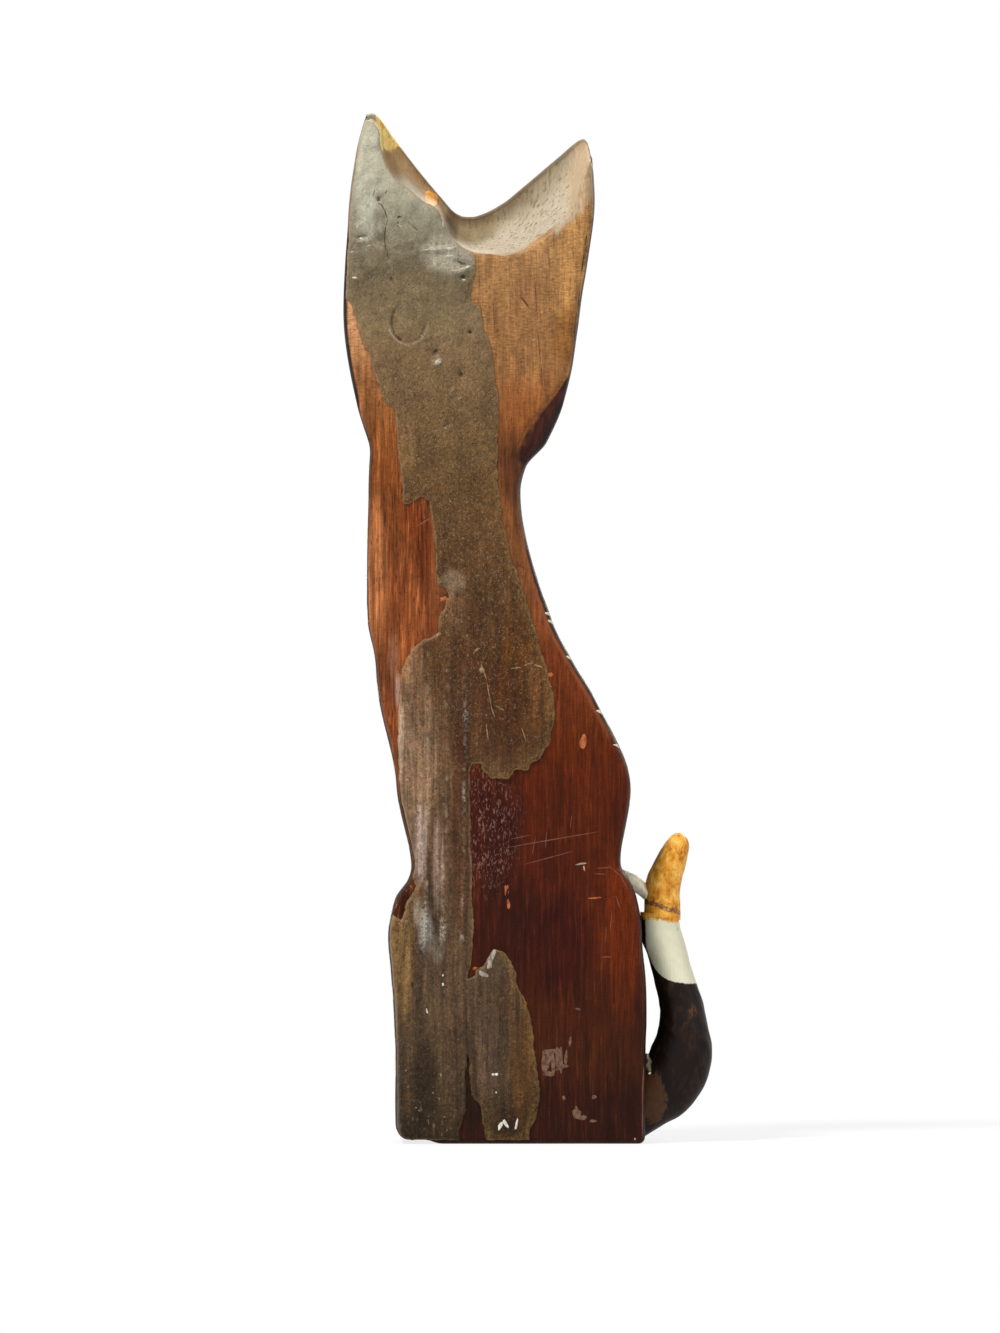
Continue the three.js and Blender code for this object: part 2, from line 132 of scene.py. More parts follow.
def hills(u, v, seed):
    """Soft random hills from -1 to 1. Each whole-number place (u, v) has a height scrambled from its own
    coordinates and the seed; between four of them the height is joined by smooth steps."""
    u, v = np.broadcast_arrays(np.asarray(u, float), np.asarray(v, float))
    column, row = np.floor(u).astype(np.int64), np.floor(v).astype(np.int64)
    across, up = smooth_step(0, 1, u - column), smooth_step(0, 1, v - row)

    def height(i, j):
        mixed = (i * 374761393 + j * 668265263 + seed * 974634777) & 0xFFFFFFFF
        mixed = ((mixed ^ (mixed >> 13)) * 1274126177) & 0xFFFFFFFF
        return ((mixed ^ (mixed >> 16)) & 0xFFFF) / 0x7FFF - 1

    low = height(column, row) * (1 - across) + height(column + 1, row) * across
    high = height(column, row + 1) * (1 - across) + height(column + 1, row + 1) * across
    return low * (1 - up) + high * up


print("hills: spread", hills(np.arange(900) / 7, 0, 1).std().round(2))

# %% [markdown]
# Every piece goes into Blender the same way: points in millimetres, faces as lists of point numbers, and a
# few named values on the points that its finish can read. A piece sits at the origin with its place in its
# mesh, rides on the cat and hides the solid of the imported model that it stands for.

# %% From points to a piece


def make_piece(name, points, faces, finish, stands_for=None, marks=None):
    """Mesh of points (mm) and faces, smooth shaded, with point values for each mark."""
    mesh = bpy.data.meshes.new(name)
    mesh.from_pydata((points.reshape(-1, 3) * MM).tolist(), [], faces)
    for mark, values in (marks or {}).items():
        layer = mesh.attributes.new(mark, "FLOAT", "POINT")
        layer.data.foreach_set("value", values.ravel().astype(np.float32))
    mesh.shade_smooth()
    mesh.materials.append(finish)
    piece = bpy.data.objects.new(name, mesh)
    bpy.context.scene.collection.objects.link(piece)
    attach(piece, "root")
    if stands_for:
        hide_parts(stands_for)
    print(f"{name}: {len(points.reshape(-1, 3))} points, {len(faces)} faces")
    return piece


def tube_faces(count, rings, sides):
    """Faces of tubes made of rings: quads between neighbouring rings, and a polygon at each end."""
    ring, side = np.meshgrid(np.arange(rings - 1), np.arange(sides), indexing="ij")
    here = ring * sides + side
    beside = ring * sides + (side + 1) % sides
    quads = np.stack([here, beside, beside + sides, here + sides], -1).reshape(-1, 4)
    ends = np.stack([np.arange(sides)[::-1], (rings - 1) * sides + np.arange(sides)])
    first = rings * sides * np.arange(count)[:, None, None]
    return (quads + first).reshape(-1, 4).tolist() + (ends + first).reshape(-1, sides).tolist()


print("tube: three rings of four sides have", len(tube_faces(1, 3, 4)), "faces")

# %% [markdown]
# A finish is a tree of shader nodes. Written node by node it is long and hard to read, so one class wraps a
# socket: adding or multiplying two wires adds a Math node. Everything else comes from one method that takes
# a node's type, its settings and its sockets.

# %% Shader wires


class Wire:
    """An output socket of a finish. Arithmetic on it adds Math nodes."""

    def __init__(self, finish, socket):
        self.finish = finish
        self.socket = socket

    def __add__(self, other):
        return self.finish.maths("ADD", self, other)

    def __sub__(self, other):
        return self.finish.maths("SUBTRACT", self, other)

    def __rsub__(self, other):
        return self.finish.maths("SUBTRACT", other, self)

    def __mul__(self, other):
        return self.finish.maths("MULTIPLY", self, other)

    def __rpow__(self, other):
        return self.finish.maths("POWER", other, self)

    __radd__ = __add__
    __rmul__ = __mul__


class Finish:
    """A node tree. One method, node(), adds any node, and the others are short names for common ones."""

    def __init__(self, owner):
        owner.use_nodes = True
        self.owner = owner
        self.tree = owner.node_tree
        self.tree.nodes.clear()

    def node(self, kind, settings=None, sockets=None, out=0):
        made = self.tree.nodes.new("ShaderNode" + kind)
        settings = dict(settings or {})
        for stop, (place, colour) in enumerate(settings.pop("stops", [])):
            ramp = made.color_ramp.elements
            element = ramp[stop] if stop < len(ramp) else ramp.new(place)
            element.position = place
            element.color = colour
        for name, value in settings.items():
            setattr(made, name, value)
        for name, value in (sockets or {}).items():
            if isinstance(value, Wire):
                self.tree.links.new(value.socket, made.inputs[name])
            else:
                made.inputs[name].default_value = value
        return Wire(self, made.outputs[out]) if made.outputs else made

    def maths(self, operation, first, second=0.0):
        return self.node("Math", {"operation": operation}, {0: first, 1: second})

    def blend(self, first, second, share, how="MIX"):
        settings = {"data_type": "RGBA", "blend_type": how}
        return self.node("Mix", settings, {0: share, 6: first, 7: second}, out=2)

    def layers(self, colour, *coats):
        """Coats of (colour, share), blended over the first colour one after the other."""
        for coat, share in coats:
            colour = self.blend(colour, coat, share)
        return colour

    def tones(self, colour, *values):
        """Colour times 1 + amount * (2 * value - 1) for each (value, amount), with values from 0 to 1."""
        for value, amount in values:
            colour = self.blend(colour, 1 + amount * (2 * value - 1), 1.0, "MULTIPLY")
        return colour

    def step(self, value, low, high):
        sockets = {"Value": value, "From Min": low, "From Max": high}
        return self.node("MapRange", {"interpolation_type": "SMOOTHSTEP"}, sockets)

    def ramp(self, value, *stops):
        return self.node("ValToRGB", {"stops": stops}, {0: value})

    def mark(self, name):
        return self.node("Attribute", {"attribute_name": name}, out="Fac")

    def noise(self, across, along, detail=2.0, rough=0.5, wavy=0.0):
        """Noise with so many features for each millimetre across and along the grain (z), bent by wavy."""
        scale = (across / MM, across / MM, along / MM)
        place = self.node("TexCoord", out="Object")
        place = self.node("VectorMath", {"operation": "MULTIPLY"}, {0: place, 1: scale})
        sockets = {"Vector": place, "Scale": 1.0, "Detail": detail, "Roughness": rough, "Distortion": wavy}
        return self.node("TexNoise", {}, sockets)

    def places(self):
        """The surface's own x and z, in millimetres."""
        place = self.node("TexCoord", out="Object")
        return [self.node("SeparateXYZ", {}, {0: place}, out=axis) * (1 / MM) for axis in "XZ"]

    def spot(self, x, z, oval, soft):
        """One inside an oval on the picture (column, row and half sizes in pixels). Towards the border it
        fades to zero, over the share of its square radius called soft."""
        column, row, half_wide, half_tall = oval
        x_mid, z_mid = (float(place) for place in from_photo(column, row))
        across = (x - x_mid) * (1 / (half_wide * mm_per_pixel))
        up = (z - z_mid) * (1 / (half_tall * mm_per_pixel))
        return 1 - self.step(across * across + up * up, 1 - soft, 1.0)

    def bump(self, height, depth):
        return self.node("Bump", {}, {"Height": height, "Distance": depth * MM, "Strength": 1.0})

    def surface(self, **sockets):
        """Principled surface: socket names are given with _ for a space."""
        named = {name.replace("_", " "): value for name, value in sockets.items()}
        shader = self.node("BsdfPrincipled", {}, named)
        self.node("OutputMaterial", {}, {"Surface": shader})
        return self.owner


def new_finish(name):
    return Finish(bpy.data.materials.new(name))


def srgb(red, green, blue, sheen=0.0):
    """A colour as read off a screen, 0 to 255, in the linear values that shaders use, less the even white
    sheen that a glossy coat adds to it in a white room."""
    share = np.array([red, green, blue]) / 255
    linear = np.where(share <= 0.04045, share / 12.92, ((share + 0.055) / 1.055) ** 2.4)
    return (*np.maximum(linear - sheen, 0.001).tolist(), 1.0)


print("shader wires: mid grey 128 is", round(srgb(128, 128, 128)[0], 3), "in linear light")

# %% [markdown]
# The body is one block. Its outline is given by levels from the base up: the width there, how far the middle
# leans to the cat's left, and how far the front stands before the middle plane. These are the same sizes as
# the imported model's, so the fine surface lies on the plain one.

# %% Outline of the block
LEVELS = np.array([
    (0, 72.2, 0, 21),             # base
    (34, 73, 0, 21),              # seat
    (50, 73.5, 0.7, 20.7),        # under the haunch
    (60, 73.5, 1.5, 20.5),        # haunch
    (71, 69.8, 1.3, 20),          # hip
    (76.8, 63.8, 0.5, 19.7),      # above the hip
    (81, 60.5, 1.25, 19.5),       # waist
    (104.5, 67.9, 2.05, 20),      # flank
    (128, 62.9, 9.2, 19.5),       # shoulder
    (141, 56.8, 13.8, 18.3),      # under the withers
    (152, 53.2, 17.6, 17),        # withers
    (190, 43.9, 22.35, 13),       # throat
    (197, 45.2, 21.45, 13.4),     # under the jaw
    (204.5, 51.5, 18.35, 14),     # nape
    (216, 60.2, 17.7, 18),        # jaw
    (240, 68.1, 17.35, 20),       # cheek
    (270, 71.2, 14.4, 14),        # crown
    (288, 68.5, 13.65, 7),        # ear
    (300, 62.6, 13.3, 2),         # tip
])
level_height, level_width, level_lean, level_front = LEVELS.T
width_at = smooth_through(level_height, level_width)
lean_at = smooth_through(level_height, level_lean)
front_at = smooth_through(level_height, level_front)
KNIFE_WAVER = 0.16


def left_edge(z):
    """Half the width from the leaning middle, with the knife's waver."""
    return lean_at(z) + width_at(z) / 2 + KNIFE_WAVER * hills(z / 9, 0.5, 11)


def right_edge(z):
    return lean_at(z) - width_at(z) / 2 + KNIFE_WAVER * hills(z / 9, 0.5, 12)


print("outline: neck", float(width_at(190)), "mm, head", float(width_at(270)), "mm wide")

# %% [markdown]
# The ears are what is left beside a notch sawn into the top. Behind the notch the carver hollowed the wood
# with a gouge, so the back runs down into a scoop with a crisp lower border. The top edge is a curve through
# marks on the picture, two rounded tips and the notch between them; the scoop is given by its height below.

# %% Ears and scoop
TOP_MARKS = [
    # column, row
    (356, 140), (360, 128), (364, 117.3), (368, 113.6), (372, 112.6), (376, 114.3), (380, 118.4),
    (392, 134.8), (416, 166.1), (440, 194.4), (456, 211.1), (464, 214.3), (472, 214.5), (480, 212.5),
    (504, 200.3), (520, 187.6), (560, 154.4), (576, 141.2), (580, 138.8), (584, 138), (588, 142),
    (592, 158), (596, 176),
]
top_x, top_z = from_photo(*np.array(TOP_MARKS).T)
top_edge = smooth_through(top_x[::-1], top_z[::-1])
EAR_EDGE = 3.0
SCOOP_MARKS = [
    # share of the width from the left, height in mm
    (0, 2), (0.03, 2.6), (0.077, 3.9), (0.103, 8.3), (0.135, 11.2), (0.176, 11.7), (0.24, 9.3),
    (0.30, 7.7), (0.365, 5.2), (0.39, 7.0), (0.42, 8.1), (0.49, 10), (0.53, 11.5), (0.60, 14.4),
    (0.665, 17.9), (0.75, 21), (0.82, 21.2), (0.89, 21.2), (0.94, 15), (0.98, 8), (1, 4),
]
scoop_at = smooth_through(*np.array(SCOOP_MARKS).T)
SETTLING_TURNS = 120


def top_at(share):
    """Top height at a share of the width from the left: x and z are settled together, half a step a turn."""
    z = np.full(share.shape, top_z.mean())
    for _ in range(SETTLING_TURNS):
        x = left_edge(z) - share * (left_edge(z) - right_edge(z))
        z = (z + top_edge(x)) / 2
    return z


print("ears: tips at", top_at(np.array([0.0, 1.0])).round(1), "mm")

# %% [markdown]
# The back is a plane with rounded edges; at the jaw the right edge was cut to a wide facet. Knife cuts, chips
# and dents are sunk into it as soft pits. Each pit is an oval on the picture with a depth.

# %% The back's depth
BACK_DEPTH, BACK_ROUND = 20.0, 3.0
FACET_HEIGHTS = [190, 196.5, 199.3, 202, 206, 210.6, 216.4, 223, 230]
FACET_WIDTHS = [3, 3, 5.6, 7.5, 8.2, 7.5, 5.4, 3, 3]
facet_at = smooth_through(FACET_HEIGHTS, FACET_WIDTHS)
BEVEL_POWER, ROUND_POWER = 1.15, 2.0
BACK_PITS = [
    # column, row, half length, half width, turn in degrees, depth in mm
    (583, 742, 8, 4, 80, 0.35),
    (520, 567, 9, 1.6, -20, 0.4),
    (540, 655, 9, 1.6, 10, 0.4),
    (507, 893, 16, 2, 88, 0.3),
    (582, 865, 7, 2.5, 15, 0.35),
    (424, 520, 8, 1.5, 35, 0.25),
    (402, 593, 7, 1.5, 4, 0.3),
    (447, 597, 9, 5, 10, 0.35),
]


def edge_drop(distance, rounding, power):
    """Drop of a rounded edge at a distance inside it: a quarter of |u|^p + |v|^p = 1, scaled to the
    rounding. Power 2 is a quarter circle, and power 1 a flat bevel."""
    out = 1 - np.clip(distance / rounding, 0, 1)
    return rounding * (1 - np.clip(1 - out ** power, 0, 1) ** (1 / power))


def back_edges(x, z):
    """Drop of the back towards its two sides, in mm and as a share of the rounding there."""
    right_round = np.where(z < FACET_HEIGHTS[-1], np.maximum(facet_at(z), BACK_ROUND), BACK_ROUND)
    right_round = np.where(z > FACET_HEIGHTS[0], right_round, BACK_ROUND)
    bevel = np.clip((right_round - BACK_ROUND) / BACK_ROUND, 0, 1)
    power = ROUND_POWER + (BEVEL_POWER - ROUND_POWER) * bevel
    left = edge_drop(left_edge(z) - x, BACK_ROUND, ROUND_POWER)
    right = edge_drop(x - right_edge(z), right_round, power)
    return np.maximum(left, right), np.maximum(left / BACK_ROUND, right / right_round)


def pits(x, z, marks):
    """Sum of soft pits: depth times exp(-(a^2 + b^2)), with a and b the turned offsets in half sizes."""
    total = np.zeros(np.broadcast(x, z).shape)
    for column, row, half_long, half_wide, turn, depth in marks:
        x_mid, z_mid = from_photo(column, row)
        along_x, along_z = -np.cos(np.radians(turn)), np.sin(np.radians(turn))
        along = ((x - x_mid) * along_x + (z - z_mid) * along_z) / (half_long * mm_per_pixel)
        across = ((x - x_mid) * along_z - (z - z_mid) * along_x) / (half_wide * mm_per_pixel)
        total += depth * np.exp(-along ** 2 - across ** 2)
    return total


def back_depth(x, z):
    """The back plane, less its edges' drop and the pits, with broad hollows and finer lines of the grain."""
    uneven = 0.22 * hills(x / 15, z / 26, 21) + 0.05 * hills(x / 1.7, z / 16, 22)
    return BACK_DEPTH - back_edges(x, z)[0] + uneven - pits(x, z, BACK_PITS)


print("back: deepest pit", pits(*np.meshgrid(np.arange(-35, 40), np.arange(300.0)), BACK_PITS).max().round(2))

# %% [markdown]
# Nobody sees the front in the photograph, so it is a plain folk cat of this lesson's own: a muzzle, a nose
# bridge, eye hollows, a chest, forelegs, paws and thighs, each a domed swell on an oval foot. Grooves part
# the legs and the toes, and the ears are hollowed a little.

# %% The front's depth
FRONT_ROUND = 9.0
FACE_TILT = 0.1
NECK_HEIGHT = 190.0
FRONT_FORMS = [
    # height, offset to each side, half width, half height, proud in mm, tilt
    (226, 0, 20, 15, 7, FACE_TILT),        # muzzle
    (242, 0, 10, 26, 3, FACE_TILT),        # nose bridge
    (249, 17, 13, 12, -1.5, FACE_TILT),    # eye hollows
    (128.5, 0, 25, 56, 4, 0),              # chest
    (42, 12.5, 12, 72, 5, 0),              # forelegs
    (4, 14, 14, 15, 7, 0),                 # paws
    (34, 30, 14, 36, 4, 0),                # thighs
    (277, 23, 8, 13, -0.9, FACE_TILT),     # ear hollows
    (30, 0, 1.8, 34, -1.3, 0),             # groove between the forelegs
    (3, 10, 1.1, 12, -1.1, 0),             # inner toe grooves
    (3, 18, 1.1, 12, -1.1, 0),             # outer toe grooves
]


def front_depth(x, z):
    """The front's plane, rounded to the sides and raised by each form: proud times the smooth step of
    1 - a^2 - b^2, with a and b the offsets from the form's middle in half sizes."""
    aside = x - lean_at(z)
    relief = 0.12 * hills(x / 9, z / 12, 31) + 0.05 * hills(x / 3, z / 3.5, 32)
    for height, offset, half, tall, proud, tilt in FRONT_FORMS:
        up = (z - height - tilt * aside) / tall
        for side in (1, -1) if offset else (0,):
            across = (aside - side * offset) / half
            relief = relief + proud * smooth_step(0, 1, 1 - across ** 2 - up ** 2)
    drop = edge_drop(np.minimum(left_edge(z) - x, x - right_edge(z)), FRONT_ROUND, ROUND_POWER)
    return drop - front_at(z) - relief


print("front: muzzle stands", -float(front_depth(17.5, 226.0).round(1)), "mm before the middle plane")

# %% [markdown]
# The block's surface is the skin of a lattice: i runs across, k from back to front and j up. The back and
# the front share the same places (x, z), the sides join them, and the underside and the ears' edges close
# it, so there is no seam anywhere. Columns crowd towards the edges, where the surface turns.

# %% The block's lattice
ACROSS, DEEP = 120, 12
UNDER_ROWS, BLOCK_ROWS, SCOOP_ROWS = 5, 290, 42
UP = UNDER_ROWS + BLOCK_ROWS + SCOOP_ROWS
EDGE_CROWDING = 0.75
BASE_ROUND = 1.8
UNDERCUT_WIDTH, UNDERCUT_RISE = 10.5, 1.15
LEFT_BASE_ROUND = 3.8
SIDE_SWELL = 0.3
SCOOP_EASE = 1.3
EAR_RIM_ROUND = 0.6


def lattice_skin(across, deep, up):
    """Numbers of the lattice's surface points and outward quads on its six sides."""
    i, k, j = np.meshgrid(np.arange(across + 1), np.arange(deep + 1), np.arange(up + 1), indexing="ij")
    shown = (i == 0) | (i == across) | (k == 0) | (k == deep) | (j == 0) | (j == up)
    number = np.full(shown.shape, -1)
    number[shown] = np.arange(shown.sum())

    def quads(grid, turned):
        corners = [grid[:-1, :-1], grid[1:, :-1], grid[1:, 1:], grid[:-1, 1:]]
        return np.stack(corners[::-1] if turned else corners, -1).reshape(-1, 4)

    faces = np.concatenate([
        quads(number[:, 0, :], False), quads(number[:, deep, :], True),
        quads(number[0, :, :], True), quads(number[across, :, :], False),
        quads(number[:, :, 0], True), quads(number[:, :, up], False),
    ])
    return i[shown], k[shown], j[shown], faces.tolist()


def hollow_at(share):
    """How sharply the scoop turns in: deep behind the left ear, flatter behind the right."""
    return 3 - 1.2 * smooth_step(0.6, 0.85, share)


def block_surface():
    """Back and front depths over the shared places, with the scoop's lift and the edges' turn."""
    even = np.arange(ACROSS + 1) / ACROSS
    share = EDGE_CROWDING * (0.5 - 0.5 * np.cos(np.pi * even)) + (1 - EDGE_CROWDING) * even
    row = np.arange(UP + 1)
    past = smooth_step(UNDERCUT_WIDTH / 2, UNDERCUT_WIDTH, share * level_width[0])
    foot = (UNDERCUT_RISE * (1 - past))[:, None]
    scoop = scoop_at(share)[:, None]
    top = top_at(share)[:, None]
    under = BASE_ROUND * np.clip(row / UNDER_ROWS, 0, 1) ** 2
    climb = np.clip((row - UNDER_ROWS) / BLOCK_ROWS, 0, 1)
    lift = np.clip((row - UNDER_ROWS - BLOCK_ROWS) / SCOOP_ROWS, 0, 1) ** SCOOP_EASE
    z = foot + under + (top - scoop - foot - BASE_ROUND) * climb + lift * scoop
    inset = edge_drop(z - foot, BASE_ROUND, ROUND_POWER)
    left = left_edge(z) - edge_drop(z - foot, LEFT_BASE_ROUND, ROUND_POWER)
    right = right_edge(z) + inset
    x = left - share[:, None] * (left - right)
    front = front_depth(x, z) + inset
    rim = front + EAR_EDGE
    back = rim + (back_depth(x, z) - inset - rim) * (1 - lift) ** hollow_at(share)[:, None]
    turn = back_edges(x, z)[1]
    return x, z, back, front, np.broadcast_to(lift, x.shape), turn, pits(x, z, BACK_PITS)


def shown_back(x, z):
    """Depth of the back with the scoop, at any place: the lattice line through the place gives its lift."""
    share = np.clip((left_edge(z) - x) / (left_edge(z) - right_edge(z)), 0, 1)
    scoop, top = scoop_at(share), top_at(share)
    lift = np.clip((z - top + scoop) / scoop, 0, 1)
    rim = front_depth(x, z) + EAR_EDGE
    return rim + (back_depth(x, z) - rim) * (1 - lift) ** hollow_at(share)


def block_points():
    """Each lattice point lies between back and front by k; the sides swell and the ears' rims round over."""
    x, z, back, front, lift, turn, cuts = block_surface()
    i, k, j, faces = lattice_skin(ACROSS, DEEP, UP)
    deep = k / DEEP
    arch = np.sin(np.pi * deep)
    outward = np.where(i == 0, 1, 0) - np.where(i == ACROSS, 1, 0)
    side_uneven = SIDE_SWELL + 0.15 * hills(z[i, j] / 12, deep * 3 + 9 * outward, 41)
    points = np.stack([
        x[i, j] + outward * arch * side_uneven,
        back[i, j] + (front[i, j] - back[i, j]) * deep,
        z[i, j] + np.where(j == UP, EAR_RIM_ROUND * arch, 0),
    ], -1)
    marks = {
        "turn": np.where(k == 0, turn[i, j], 1 + deep),
        "lift": np.where(k == 0, lift[i, j], np.where(j == UP, 1.2, 0)),
        "cuts": np.where(k == 0, cuts[i, j], 0),
    }
    return points, faces, marks


block = block_points()
print("block:", block[0].min(0).round(1), "to", block[0].max(0).round(1), "mm")

# %% [markdown]
# The wood is a red-brown hardwood under an old varnish: tan and worn on the head, orange and streaky at the
# neck, and nearly black at the base. Its grain runs up the block, so the noise is stretched along z. Black
# paint covers the front and the sides and stops on the rounded edges; the mark called turn says how far the
# back has turned over its edge. The scoop was cut later, so its wood is pale, with open pores.

# %% Finish of the wood and its paint
WOOD_SHEEN = 0.008
WOOD_BY_HEIGHT = [
    (0, (50, 29, 15)), (12, (52, 29, 15)), (25, (64, 35, 18)), (48, (68, 34, 17)), (62, (81, 37, 18)),
    (85, (78, 36, 19)), (105, (80, 36, 20)), (117, (90, 42, 24)), (142, (110, 56, 33)),
    (165, (122, 75, 47)), (182, (122, 76, 47)), (198, (99, 60, 39)), (208, (116, 70, 41)),
    (216, (136, 88, 52)), (228, (144, 101, 63)), (268, (160, 120, 79)),
]
LEFT_WOOD_BY_HEIGHT = [
    (60, (66, 40, 24)), (100, (84, 46, 27)), (125, (128, 70, 41)), (160, (126, 69, 40)),
    (190, (116, 65, 36)), (208, (120, 72, 40)), (222, (150, 98, 60)), (240, (190, 140, 98)),
]
WOOD_ZONES = [
    # column, row, half width, half height, how much, colour
    (505, 925, 46, 80, 0.85, (50, 27, 20)),        # dusky middle
    (560, 945, 42, 70, 0.8, (54, 26, 17)),         # dark blotch on the right
    (400, 900, 18, 36, 0.9, (58, 29, 22)),         # maroon where the haunch has lost its bark
    (494, 825, 42, 78, 0.75, (50, 25, 19)),        # dull wood beside the bark
    (556, 878, 42, 48, 0.4, (50, 25, 17)),         # shade above the blotch
    (622, 930, 22, 110, 0.5, (112, 48, 20)),       # warm streaks by the right edge
    (578, 285, 32, 110, 0.75, (178, 131, 79)),     # golden edge of the head
    (568, 335, 18, 42, 0.55, (116, 68, 30)),       # brown cheek below it
    (593, 262, 10, 40, 0.6, (146, 94, 44)),        # brown streaks by the head's edge
    (594, 340, 12, 60, 0.6, (112, 62, 38)),        # red edge of the cheek
    (545, 252, 34, 20, 0.4, (180, 136, 88)),       # under the scoop
    (525, 320, 20, 84, 0.55, (132, 95, 62)),       # dull band below it
    (520, 415, 40, 45, 0.45, (132, 78, 44)),       # red chin
    (377, 575, 14, 100, 0.55, (168, 108, 68)),     # pale left border
    (393, 658, 8, 34, 0.3, (178, 130, 100)),       # pale streaks below it, scuffed and partly a painted sheen
    (397.5, 690, 4, 22, 0.5, (196, 166, 150)),     # scuff beside the bark, with a painted glint on it
    (412, 518, 16, 24, 0.5, (104, 44, 26)),        # red patch beside the bark
    (424, 550, 12, 62, 0.75, (86, 40, 24)),        # red strip below it
    (511, 465, 12, 55, 0.6, (70, 44, 32)),         # dusky throat
    (473, 1085, 14, 85, 0.9, (40, 28, 18)),        # shade between the two skins of bark
]


def height_ramp(finish, z, marks, sheen):
    """Colours by height: a ramp over z, with the marks as its stops."""
    stops = [(height / cat_height, srgb(*colour, sheen)) for height, colour in marks]
    return finish.ramp(z * (1 / cat_height), *stops)


def zones(finish, x, z, colour, places, sheen, broken):
    """Soft ovals of other colours, each broken up by a noise."""
    for *oval, share, zone in places:
        spot = finish.maths("MINIMUM", finish.spot(x, z, oval, 1.0) * (0.2 + 1.8 * broken), 1.0)
        colour = finish.blend(colour, srgb(*zone, sheen), spot * share)
    return colour


CRAZED_WOOD = (486, 826, 44, 84)


def wood_colour(finish, x, z):
    """Colour of the bare wood: by height, warmer on the left, then zones, streaks, fibres and dark pores."""
    streaks = finish.noise(0.40, 0.012, 5, 0.68, 0.7)
    fibres = finish.noise(1.2, 0.06, 5, 0.74, 0.6)
    ticks = finish.noise(0.6, 2.2, 3, 0.6, 0.5)
    pores = finish.step(finish.noise(2.4, 0.3, 2), 0.6, 0.7)
    blotch = finish.noise(0.14, 0.07, 5, 0.62, 0.8)
    right = height_ramp(finish, z, WOOD_BY_HEIGHT, WOOD_SHEEN)
    left = height_ramp(finish, z, LEFT_WOOD_BY_HEIGHT, WOOD_SHEEN)
    on_left = finish.step(x, 20.0, 33.0)
    on_head = finish.step(z, 200.0, 235.0)
    calm = 1 - 0.45 * on_head * finish.step(x, -20.0, -12.0)
    colour = finish.blend(right, left, on_left)
    colour = zones(finish, x, z, colour, WOOD_ZONES, WOOD_SHEEN, streaks)
    tawny = finish.step(fibres, 0.52, 0.68) * (0.05 + 0.5 * on_left)
    colour = finish.blend(colour, srgb(174, 102, 54), tawny)
    colour = finish.tones(
        colour, (streaks, (0.7 + 0.7 * on_left) * calm), (fibres, 1.3 * calm), (ticks, 0.4 + 0.6 * on_head),
        (blotch, 0.8))
    crazed = finish.step(finish.noise(1.5, 0.6, 3, 0.6, 1.0), 0.53, 0.63)
    crazed = crazed * finish.spot(x, z, CRAZED_WOOD, 1.0)
    colour = finish.layers(
        colour, (srgb(30, 13, 8), pores * (0.3 + 0.3 * on_left) * calm), (srgb(150, 112, 100), crazed * 0.5))
    return colour, fibres, pores


NOTCH_FLOOR, NOTCH_SHADE = (468, 222, 36, 24), (450, 226, 10, 26)
LEFT_EAR_SLOPE = (414, 188, 28, 28)


def scoop_colour(finish, x, z, lift, fibres, pores):
    """Pale open-grained wood on the right slope, olive in the notch, brown and gold on the left slope, with
    painted shade high on the right slope and by the notch's wall, and a painted highlight along the scoop's
    lip.
    """
    mottle = finish.noise(0.35, 0.2, 4)
    uneven = mottle - 0.5
    dashes = finish.step(finish.noise(0.9, 0.3, 3, 0.6), 0.57, 0.64)
    pale = finish.blend(srgb(170, 155, 131), srgb(197, 186, 165), mottle)
    tan = finish.blend(srgb(184, 156, 122), srgb(206, 182, 150), mottle)
    olive = finish.blend(srgb(122, 105, 76), srgb(152, 135, 104), mottle)
    brown = finish.blend(srgb(158, 124, 86), srgb(196, 166, 126), mottle)
    gold = finish.blend(srgb(246, 186, 92), srgb(255, 240, 166), finish.step(dashes + mottle, 0.3, 0.7))
    shaded = finish.step(lift + 0.4 * uneven, 0.42, 0.8) * finish.step(x, -20.0, -8.0)
    slope = finish.step(lift + 0.3 * uneven, 0.75, 0.2) * finish.spot(x, z, LEFT_EAR_SLOPE, 0.8)
    # Painted highlight: paler along the lit lip at the scoop's lower border, left of the middle.
    lip = finish.step(lift, 0.16, 0.05) * finish.step(x, 4.0, 8.0) * finish.step(z, 276.0, 270.0)
    blots = finish.step(lift + 0.5 * uneven, 0.16, 0.02) * finish.step(x, 10.0, 4.0)
    gold_from = 290.2 - 2.2 * finish.step(lift, 0.35, 0.1)
    gold_tip = finish.step(z + 5 * uneven - gold_from, -0.6, 0.6) * finish.step(x, 20.0, 30.0)
    colour = finish.layers(
        pale, (srgb(92, 72, 48), dashes * 0.7),
        (tan, finish.step(x + 6 * uneven, -11.0, -18.0)),
        (olive, shaded * 0.65), (olive, finish.spot(x, z, NOTCH_FLOOR, 0.7)),
        (brown, finish.step(x, 20.0, 24.0)),
        (srgb(92, 70, 52), finish.spot(x, z, NOTCH_SHADE, 0.9) * 0.75),
        (srgb(192, 182, 162), slope * 0.8), (srgb(198, 185, 163), lip * 0.85),
        (srgb(160, 122, 80), blots * finish.step(dashes + mottle, 0.4, 0.6) * 0.6),
        (srgb(74, 54, 38), finish.step(lift, 0.92, 1.0) * 0.5),
        (gold, gold_tip * finish.step(x, 42.8, 42.0)),
        (srgb(186, 178, 152), finish.step(x, 42.2, 43.0)))
    return finish.layers(finish.tones(colour, (fibres, 0.5)), (srgb(70, 50, 34), pores * 0.25))


def paint_colour(finish):
    """Old black paint: brown-black, a little greyer where it is rubbed."""
    rubbed = finish.noise(0.3, 0.12, 5, 0.65)
    return finish.blend(srgb(24, 15, 12), srgb(54, 35, 26), finish.step(rubbed, 0.42, 0.75))


